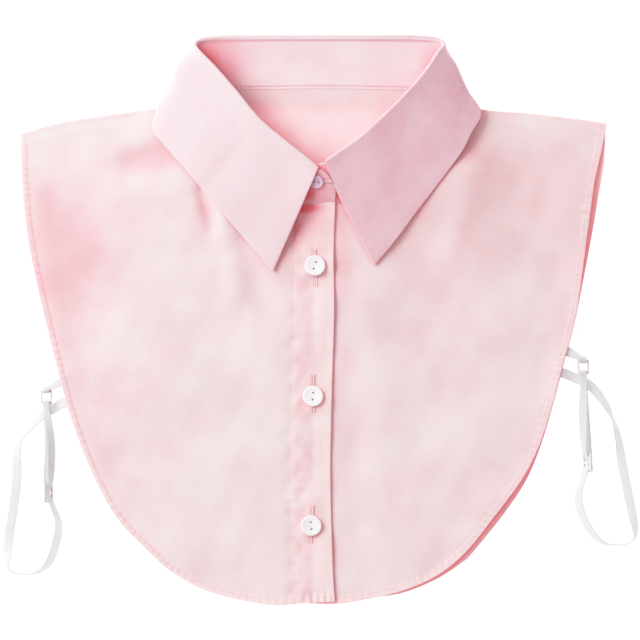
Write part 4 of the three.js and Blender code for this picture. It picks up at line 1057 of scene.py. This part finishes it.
# Painted shade: the collar button's plastic is a darker lilac, for the collar's shade
PAINTED_SHADE_LILAC_PLASTIC = grainy("shaded lilac button", (0.68, 0.49, 0.61), (0.60, 0.42, 0.54), 420, 0.3, 0.05, 0.3)
on_band = drop_on(collar_band)
matrix = seat(on_band, -2.2, -52.6, 3.2, COLLAR_BUTTON_THICKNESS / 2 + BUTTON_LIFT, 80)
disc = button("button_collar", COLLAR_BUTTON, COLLAR_BUTTON_THICKNESS, COLLAR_HOLE_SPACING, matrix)
dress(disc, PAINTED_SHADE_LILAC_PLASTIC, "button", "collar_button")
sewn_on(matrix, COLLAR_BUTTON_THICKNESS, COLLAR_HOLE_SPACING)
threads("button_threads", button_thread_ends, 0.14, HOLE_SHADE_THREAD)


# The buttonholes
# Each is a slit between two rows of satin stitch, closed at its ends by a bar of the same
# stitch, in thread of the cloth's own pink. The front ones stand upright and the collar's lies.
HOLE_LENGTH = 23.0
COLLAR_HOLE_LENGTH = 13.0
SATIN_WIDTH = 1.15
SATIN_PITCH = 0.36
EDGING_PITCH = 1.5
END_BAR = 1.2
THREAD_RADIUS = 0.19
HOLE_SHIFTS = [-1.6, 1.7, 0.6]  # each was cut a little above or below its button
PINK_THREAD = grainy("pink thread", (0.92, 0.66, 0.68), (0.88, 0.56, 0.59), 3000, 0.75, 0.5)
# Painted shade: the dark thread that edges the buttonholes stands for the shade of their needle holes
NEEDLE_HOLE_SHADE_THREAD = grainy("needle hole shade thread", (0.66, 0.27, 0.32), (0.55, 0.2, 0.25), 3000, 0.8, 0.5)


def rods_on(drop, ends, lift):
    """Ends of rods laid on the cloth, as x, y pairs that are dropped on it and lifted a little."""
    dropped = [[drop(*end) for end in pair] for pair in ends]
    return np.array([[place + lift * facing for place, facing in pair] for pair in dropped])


def buttonhole(x, y, length, direction):
    """Ends of a buttonhole's satin threads and of the dark rods that edge it, painted shade of its needle
    holes.
    """
    along_it = np.array(direction)
    across_it = np.array([-along_it[1], along_it[0]])
    middle = np.array([x, y])
    satin, edging = [], []
    for at in np.arange(-length / 2, length / 2, SATIN_PITCH):
        inner, outer = (0.0, SATIN_WIDTH + 0.35) if abs(at) > length / 2 - END_BAR else (0.16, SATIN_WIDTH)
        centre = middle + at * along_it
        for side in (-1, 1):
            satin.append((centre + side * inner * across_it, centre + side * outer * across_it))
    for at in np.arange(-length / 2, length / 2, EDGING_PITCH):
        centre = middle + at * along_it
        for side in (-1, 1):
            start = centre + side * (SATIN_WIDTH + 0.2) * across_it
            edging.append((start, start + 0.8 * along_it))
    return satin, edging


satin_ends, edging_ends = [], []
holes = []
for (x, y), shift, lean in zip(BUTTON_PLACES, HOLE_SHIFTS, (-0.05, 0.0, 0.05)):
    holes.append((on_placket, x, y + shift, HOLE_LENGTH, (lean, 1.0)))
holes.append((on_band, 3.0, -52.4, COLLAR_HOLE_LENGTH, (1.0, 0.03)))
for drop, *where in holes:
    satin, edging = buttonhole(*where)
    satin_ends.append(rods_on(drop, satin, 0.04))
    edging_ends.append(rods_on(drop, edging, 0.0))
threads("buttonhole_satin", np.concatenate(satin_ends), THREAD_RADIUS, PINK_THREAD)
threads("buttonhole_edges", np.concatenate(edging_ends), 0.24, NEEDLE_HOLE_SHADE_THREAD)


# The seams' stitches
# Rows of lockstitch in pink thread: round the hems, down the placket, under the collar's top
# edge and above the neck seam. Each stitch lies in the cloth between two needle holes.
STITCH = 1.5
STITCH_PITCH = 2.4
TIGHT_SEAMS = (3, 4)  # rows whose thread is drawn so tight that the needle holes show, as rods of painted shade


def inset_line(line, inset):
    """Line beside another one: to its left by inset, or to its right if that is negative."""
    run = unit(np.gradient(line, axis=0))
    return line + inset * np.stack([-run[:, 1], run[:, 0]], axis=-1)


def stitch_ends(line, seed):
    """Ends of a row of stitches along a line, none of them quite like the last."""
    draw = np.random.RandomState(seed)
    length = run_length(line)
    starts = np.arange(1.5, length[-1] - 2, STITCH_PITCH)
    starts = starts + draw.uniform(-0.12, 0.12, len(starts))
    ends = [[np.interp(at, length, line[:, i]) for i in range(2)] for at in (starts, starts + STITCH)]
    return np.moveaxis(np.array(ends), (0, 1, 2), (1, 2, 0))


def holes_between(ends):
    """Short dark rods at the needle holes between one stitch and the next, painted shade of the holes."""
    gap = ends[1:, 0] - ends[:-1, 1]
    return np.stack([ends[:-1, 1] + 0.15 * gap, ends[:-1, 1] + 0.85 * gap], axis=1)


band_top_row, band_foot_row = [np.argmin(np.abs(BAND_ROWS - seam)) for seam in (TOP_SEAM, FOOT_SEAM)]
behind_neck = np.abs(band_middle[:, band_top_row, 0]) < 71
behind_neck &= band_middle[:, band_top_row, 1] > 30
over_seam = np.abs(band_middle[:, band_foot_row, 0] - 2) < 58
over_seam &= band_middle[:, band_foot_row, 1] > -4
seam_rows = [
    (drop_on(bib_left), inset_line(left_outline, HEM_STITCH)),
    (drop_on(bib_right), inset_line(right_outline, -HEM_STITCH)),
    (on_placket, inset_line(placket_edge, -PLACKET)[4:]),
    (drop_on(collar_band, collar_leaf), band_middle[behind_neck, band_top_row, :2]),
    (on_band, band_middle[over_seam, band_foot_row, :2]),
    (on_band, left_end[:, band_top_row, :2]),
]
stitches, needle_holes = [], []
for i, (drop, line) in enumerate(seam_rows):
    ends = stitch_ends(line, 40 + i)
    stitches.append(rods_on(drop, ends, 0.02))
    if i in TIGHT_SEAMS:
        needle_holes.append(rods_on(drop, holes_between(ends), 0.0))
# Painted shade: the dark rods at the needle holes stand for the shade of the holes
SHADED_THREAD = grainy("shaded thread", (0.74, 0.34, 0.39), (0.66, 0.27, 0.32), 3000, 0.8, 0.5)
threads("seam_stitches", np.concatenate(stitches), THREAD_RADIUS, PINK_THREAD)
threads("seam_holes", np.concatenate(needle_holes), 0.27, SHADED_THREAD)


# The elastic straps
# Flat white knitted elastic with four ribs along it. Each strap comes out from under the side
# edge, lies in a loop, is threaded through a slider, turns round the ring and ends at the slider.
LOOP_DROP = 107.0
LOOP_REACH = {"left": 36.5, "right": 45.8}
STRAP_WIDTH = 6.0
STRAP_THICKNESS = 0.8
STRAP_GAP = 0.3
KNIT_PITCH = 0.8
RIB_PITCH = 1.5
SIDE_DARKENING = (2.3, 2.9)  # where it begins and is darkest, from the middle of the band
PLASTIC = 1.4  # thickness of rings and sliders
RING = (7.4, 9.4, 1.4)  # width, length, bar
SLIDER = (8.6, 11.8, 1.3)
SLIDER_ROLL = 55  # the slider leans on its long edge
RING_HEIGHT = 4.0
WRAP = PLASTIC / 2 * math.sqrt(2) + STRAP_GAP + STRAP_THICKNESS / 2  # band round a square bar
DIAGONAL = WRAP * math.sqrt(0.5)

# From the root round the loop to the slider: shares of LOOP_REACH and LOOP_DROP, and the turn of
# the band about its own length in degrees
STRAP_ROUTE = {
    "left": [
        (-0.2, -0.02, 0), (0.0, 0.0, 0), (0.22, 0.041, 6), (0.34, 0.064, 20), (0.476, 0.109, 50),
        (0.629, 0.161, 60), (0.765, 0.224, 72), (0.824, 0.305, 34), (0.824, 0.391, 0),
        (0.833, 0.477, -18), (0.875, 0.592, -20), (0.935, 0.735, -18), (0.977, 0.839, 4),
        (0.985, 0.907, 50), (0.975, 0.955, 72), (0.901, 0.985, 84), (0.748, 0.996, 88),
        (0.578, 0.996, 86), (0.408, 0.976, 66), (0.265, 0.919, 40), (0.162, 0.821, 34),
        (0.111, 0.706, 44),
    ],
    "right": [
        (-0.2, -0.02, 0), (0.0, 0.0, 0), (0.202, 0.035, 4), (0.392, 0.082, 14), (0.568, 0.176, 40),
        (0.676, 0.264, 72), (0.75, 0.375, 44), (0.798, 0.51, 14), (0.859, 0.645, 14),
        (0.935, 0.803, 22), (0.98, 0.903, 48), (0.98, 0.95, 72), (0.92, 0.982, 86),
        (0.825, 0.994, 88), (0.662, 0.996, 86), (0.541, 0.982, 72), (0.432, 0.945, 50),
        (0.338, 0.891, 40), (0.256, 0.815, 38), (0.21, 0.727, 42),
    ],
}
# Slider, ring and root of the tab, the root's level down the bib, how far it is off the edge, and
# how far the band between ring and slider bows out
HARDWARE = {
    "left": ((0.282, 0.526), (0.315, -0.031), (0.04, -0.12), 0.6, 2.4, 1.6),
    "right": ((0.332, 0.519), (0.277, -0.036), (0.06, -0.125), 0.5425, 0.6, 0.9),
}


def turned(vector, axis, degrees):
    return np.array(Matrix.Rotation(math.radians(degrees), 3, Vector(axis)) @ Vector(vector))


def across_run(run):
    return unit(np.cross(run, [0.0, 0.0, 1.0]))


class Loop:
    """Place of a plastic loop: x across the band, y along it, z out of its face."""

    def __init__(self, place, run, roll):
        self.place = place
        self.y = unit(run)
        self.x = turned(across_run(self.y), self.y, roll)
        self.z = np.cross(self.x, self.y)

    def at(self, along_it, out):
        return self.place + along_it * self.y + out * self.z

    def matrix(self):
        axes = Matrix(np.stack([self.x, self.y, self.z], axis=1).tolist()).to_4x4()
        return Matrix.Translation(Vector((self.place + NECK_SIDE) * MM)) @ axes


def knitted_elastic():
    """Rows of knitting across the band, ribs along it, and colour that darkens towards its two sides."""
    material, tree, shader = blank_material("white elastic")
    split = wired(tree, "SeparateXYZ", {0: wired(tree, "UVMap", {}, uv_map="cloth")[0]})
    waves = []
    for axis, kind, pitch in (("X", "SINE", KNIT_PITCH), ("Y", "COSINE", RIB_PITCH)):
        scaled = wired(tree, "Math", {0: split[axis], 1: 2 * math.pi / (pitch * MM)}, operation="MULTIPLY")
        waves.append(wired(tree, "Math", {0: scaled[0]}, operation=kind)[0])
    knit, ribs = waves
    from_middle = wired(tree, "Math", {0: split["Y"]}, operation="ABSOLUTE")[0]
    between_ribs = stretched(tree, ribs, 0.2, -1.0)
    color = color_mix(tree, between_ribs, (0.60, 0.615, 0.63), (0.54, 0.555, 0.57))
    darker_sides = stretched(tree, from_middle, SIDE_DARKENING[0] * MM, SIDE_DARKENING[1] * MM, 0.8)
    color = color_mix(tree, darker_sides, color, (0.40, 0.41, 0.43))
    bump = wired(tree, "Bump", {"Strength": 0.6, "Distance": 0.0001, "Height": knit})
    fill(tree, shader, {
        "Roughness": 0.8, "Sheen Weight": 0.2, "Subsurface Weight": 0.55,
        "Subsurface Radius": (1.0, 1.0, 1.0), "Subsurface Scale": 0.004,
        "Base Color": color, "Normal": bump[0],
    })
    return material


def elastic_band(name, route, per_step=9):
    """Ribbed band through a route of middle, side direction and width."""
    steps = per_step * (len(route) - 1)
    at = np.linspace(0, len(route) - 1, steps + 1)
    middle = on_curve([middle for middle, _, _ in route], at)
    k = np.minimum(at.astype(int), len(route) - 2)
    share = smooth(at - k)[:, None]
    sides = np.array([side for _, side, _ in route])
    widths = np.array([width for _, _, width in route])
    side = unit(sides[k] * (1 - share) + sides[k + 1] * share)
    half = (widths[k] * (1 - share[:, 0]) + widths[k + 1] * share[:, 0]) / 2
    half_across = np.array([0.2, 0.35, 0.5, 0.65, 0.8, 0.92, 0.98, 1])
    across = np.concatenate([-half_across[::-1], [0], half_across])
    grid = middle[:, None] + side[:, None] * half[:, None, None] * across[:, None]
    edge = np.sqrt(np.maximum(0, 1 - (np.clip((np.abs(across) - 0.9) / 0.1, 0, 1)) ** 2))
    profile = (0.2 + 0.8 * edge) * (0.42 + 0.06 * np.cos(2 * np.pi * across * 2))
    full = np.repeat(profile[None] * STRAP_THICKNESS, len(grid), axis=0)
    length = run_length(middle)
    uv = np.stack(np.broadcast_arrays(length[:, None], across[None] * STRAP_WIDTH / 2), axis=-1)
    return cloth_sheet(name, grid, full, full, uv)


ELASTIC = knitted_elastic()
RING_BAND = RING[0] - 2 * RING[2] - 2 * STRAP_GAP
SLIDER_BAND = SLIDER[0] - 2 * SLIDER[2] - 2 * STRAP_GAP
outer_bar = SLIDER[1] / 2 - SLIDER[2] / 2
lower_bar = -(RING[1] - RING[2]) / 2
before_bar = lower_bar - 2.5


def threaded(loop, width, route):
    """Band on a loop, by how far it is along the loop and out of it."""
    return [(loop.at(along_it, out), loop.x, width) for along_it, out in route]


def round_bar(bar, way):
    """Turn round a ring's bar from over it to under it: way is the side of the bar, 1 or -1."""
    return [
        (bar, WRAP), (bar + way * DIAGONAL, DIAGONAL), (bar + way * WRAP, 0),
        (bar + way * DIAGONAL, -DIAGONAL), (bar, -WRAP),
    ]


def half_way(slider, ring, out, shift):
    """Band half way between a slider and a ring."""
    middle = (slider.at(outer_bar, out) + ring.at(before_bar, out)) / 2
    return [(middle + shift, unit(slider.x + ring.x), STRAP_WIDTH)]


loops = {}
tab_roots = {}
for side, sign in SIGN.items():
    slider_at, ring_at, tab_at, level, clear, bow = HARDWARE[side]
    back_edge = np.array(BACK_EDGE[side])
    edge_x = np.interp(level, back_edge[:, 1], back_edge[:, 0]) * HALF_WIDTH
    root = np.array([sign * (edge_x + clear), -level * BODY_LENGTH, 0.0])
    scale = np.array([sign * LOOP_REACH[side], -LOOP_DROP, 0.0])
    lean = math.radians(SLIDER_ROLL)
    slider_height = SLIDER[0] / 2 * math.sin(lean) + WRAP * math.cos(lean) + STRAP_GAP
    slider_place = root + scale * [*slider_at, 0] + [0, 0, slider_height]
    ring_place = root + scale * [*ring_at, 0] + [0, 0, RING_HEIGHT]
    run = ring_place - slider_place
    slider = Loop(slider_place, run, -sign * SLIDER_ROLL)
    ring = Loop(ring_place, run * [1, 1, 0], 0)
    loops[side] = (slider, ring)
    tab_roots[side] = root + scale * [*tab_at, 0]

    rows = np.array(STRAP_ROUTE[side], float)
    floor_line = root + scale * np.stack([rows[:, 0], rows[:, 1], 0 * rows[:, 0]], axis=-1)
    strap = []
    for i, (out, _, roll) in enumerate(rows):
        ahead = unit(floor_line[min(i + 1, len(rows) - 1)] - floor_line[max(i - 1, 0)])
        tilt = math.radians(abs(roll))
        on_back = 2 * FLOOR_LAYER + STRAP_GAP if out <= 0 else 0.0
        rise = on_back + STRAP_WIDTH / 2 * math.sin(tilt) + STRAP_THICKNESS / 2 * math.cos(tilt)
        facing = turned(across_run(ahead), ahead, -sign * roll)
        strap.append((floor_line[i] + [0, 0, rise], facing, STRAP_WIDTH))
    woven = [(-outer_bar, WRAP), (-outer_bar / 2, 0), (0, -WRAP), (outer_bar / 2, 0), (outer_bar, WRAP)]
    strap += threaded(slider, SLIDER_BAND, woven)
    bowed = -sign * bow * across_run(run)
    strap += half_way(slider, ring, WRAP, bowed + [0, 0, 0.6])
    strap += threaded(ring, RING_BAND, [(before_bar, WRAP), *round_bar(lower_bar, 1), (before_bar, -WRAP)])
    strap += half_way(slider, ring, -WRAP, bowed)
    strap += threaded(slider, SLIDER_BAND, [(outer_bar, -WRAP), (0.78 * outer_bar, -WRAP)])
    dress(elastic_band(f"strap_{side}", strap), ELASTIC, "elastic", f"elastic_strap_{side}")


# The strap tabs
# Short ends of the same elastic, sewn under each front's side edge. They pass through the ring
# round its upper bar and are stitched back on themselves.
for side, (_, ring) in loops.items():
    sign = SIGN[side]
    inward = unit(np.array([-sign, 0.4, 0.0]))
    tab_side = unit(np.array([0.4 * sign, 1.0, 0.0])) * sign
    tab_start = tab_roots[side]
    tab = []
    for inside in (6.0, 0.0):
        place = tab_start + inside * inward
        under = front_middle(place[:1], place[1:2], side == "left")[0] - 0.7 - STRAP_THICKNESS
        tab.append((np.array([place[0], place[1], under]), tab_side, STRAP_WIDTH))
    tab_end = ring.at(-lower_bar, WRAP)
    half_tab = tab_start + 0.6 * (tab_end - tab_start)
    half_tab[2] = tab_end[2]
    tab.append((half_tab, unit(0.4 * tab_side + 0.6 * ring.x), 0.8 * STRAP_WIDTH))
    tab += threaded(ring, RING_BAND, [*round_bar(-lower_bar, -1), (-lower_bar + 2.4, -WRAP)])
    dress(elastic_band(f"tab_{side}", tab), ELASTIC, "elastic", f"strap_tab_{side}")


# The rings and sliders
# Moulded in a milky plastic. A ring has one opening and a slider two, and their edges are soft
# from the mould.
MILKY_PLASTIC = grainy("milky plastic", (0.70, 0.71, 0.735), (0.62, 0.63, 0.66), 300, 0.35, 0.04, 0.5)


def plate(width, length, thickness, corner):
    """Flat plate with rounded corners, in millimetres."""
    made = primitive(bpy.ops.mesh.primitive_cube_add, size=1)
    made.data.transform(Matrix.Diagonal((width * MM, length * MM, thickness * MM, 1)))
    half = 0.5 * thickness * MM
    choose(made, "EDGE", lambda edge: abs(edge.verts[0].co.z - edge.verts[1].co.z) > half)
    bpy.ops.mesh.bevel(offset=corner * MM, segments=6)
    bpy.ops.object.mode_set(mode="OBJECT")
    return made


def plastic_loop(name, size, openings, matrix):
    """Plate with one or two openings cut through it, and its edges rounded."""
    width, length, bar = size
    made = plate(width, length, PLASTIC, bar)
    opening = (length - bar * (openings + 1)) / openings
    for i in range(openings):
        window = plate(width - 2 * bar, opening, 3 * PLASTIC, 0.4 * bar)
        middle = -length / 2 + bar + opening / 2 + i * (opening + bar)
        window.data.transform(Matrix.Translation((0, middle * MM, 0)))
        cut(made, window)
    rounded(made, 0.3, 3, 50)
    return put(made, name, matrix)


for side, (slider, ring) in loops.items():
    made = plastic_loop(f"slider_{side}", SLIDER, 2, slider.matrix())
    dress(made, MILKY_PLASTIC, "plastic", f"strap_slider_{side}")
    made = plastic_loop(f"ring_{side}", RING, 1, ring.matrix())
    dress(made, MILKY_PLASTIC, "plastic", f"strap_ring_{side}")


# The floor, the light and the camera
# A plain white floor, a large soft lamp at the upper left with an even pale sky, and a camera
# that looks straight down from high up.
floor = primitive(bpy.ops.mesh.primitive_plane_add, size=8, location=(0, 0, -0.0002))
floor.name = "floor"
floor_paint, tree, shader = blank_material("white floor")
fill(tree, shader, {
    "Base Color": (0.93, 0.93, 0.93, 1), "Roughness": 0.9,
    "Emission Color": (1, 1, 1, 1), "Emission Strength": 1.1,
})
floor.data.materials.append(floor_paint)

world = bpy.data.worlds.new("pale sky")
world.use_nodes = True
sky = world.node_tree.nodes["Background"]
fill(world.node_tree, sky, {"Color": (1.0, 0.90, 0.915, 1), "Strength": 0.66})
bpy.context.scene.world = world


light = bpy.data.lights.new("window", "AREA")
light.shape = "DISK"
light.size = 1.5
light.energy = 74
light.color = (1.0, 0.985, 0.97)
lamp = bpy.data.objects.new("window", light)
bpy.context.collection.objects.link(lamp)
lamp.location = (-1.75, 0.95, 1.35)
lamp.rotation_euler = (-lamp.location).to_track_quat("-Z", "Y").to_euler()

scene = bpy.context.scene
scene.view_settings.view_transform = "Standard"
scene.view_settings.use_curve_mapping = True
tones = scene.view_settings.curve_mapping
tones.white_level = (1.6, 1.6, 1.6)
TONE_CURVE = [(0.0, 0.0), (0.2, 0.31), (0.42, 0.66), (0.66, 0.88), (1.0, 1.0)]  # light in, light out
curve = tones.curves[3]
for light_in, light_out in TONE_CURVE[1:-1]:
    curve.points.new(light_in, light_out)
tones.update()
CAMERA_HEIGHT = 3.0
VIEW_WIDTH = 0.3968
SENSOR = 36.0
camera_data = bpy.data.cameras.new("camera")
camera_data.sensor_width = SENSOR
camera_data.lens = SENSOR * CAMERA_HEIGHT / VIEW_WIDTH
camera_data.clip_end = 50
camera = bpy.data.objects.new("camera", camera_data)
bpy.context.collection.objects.link(camera)
camera.location = (-0.0006, -0.0002, CAMERA_HEIGHT + 0.006)
scene.camera = camera
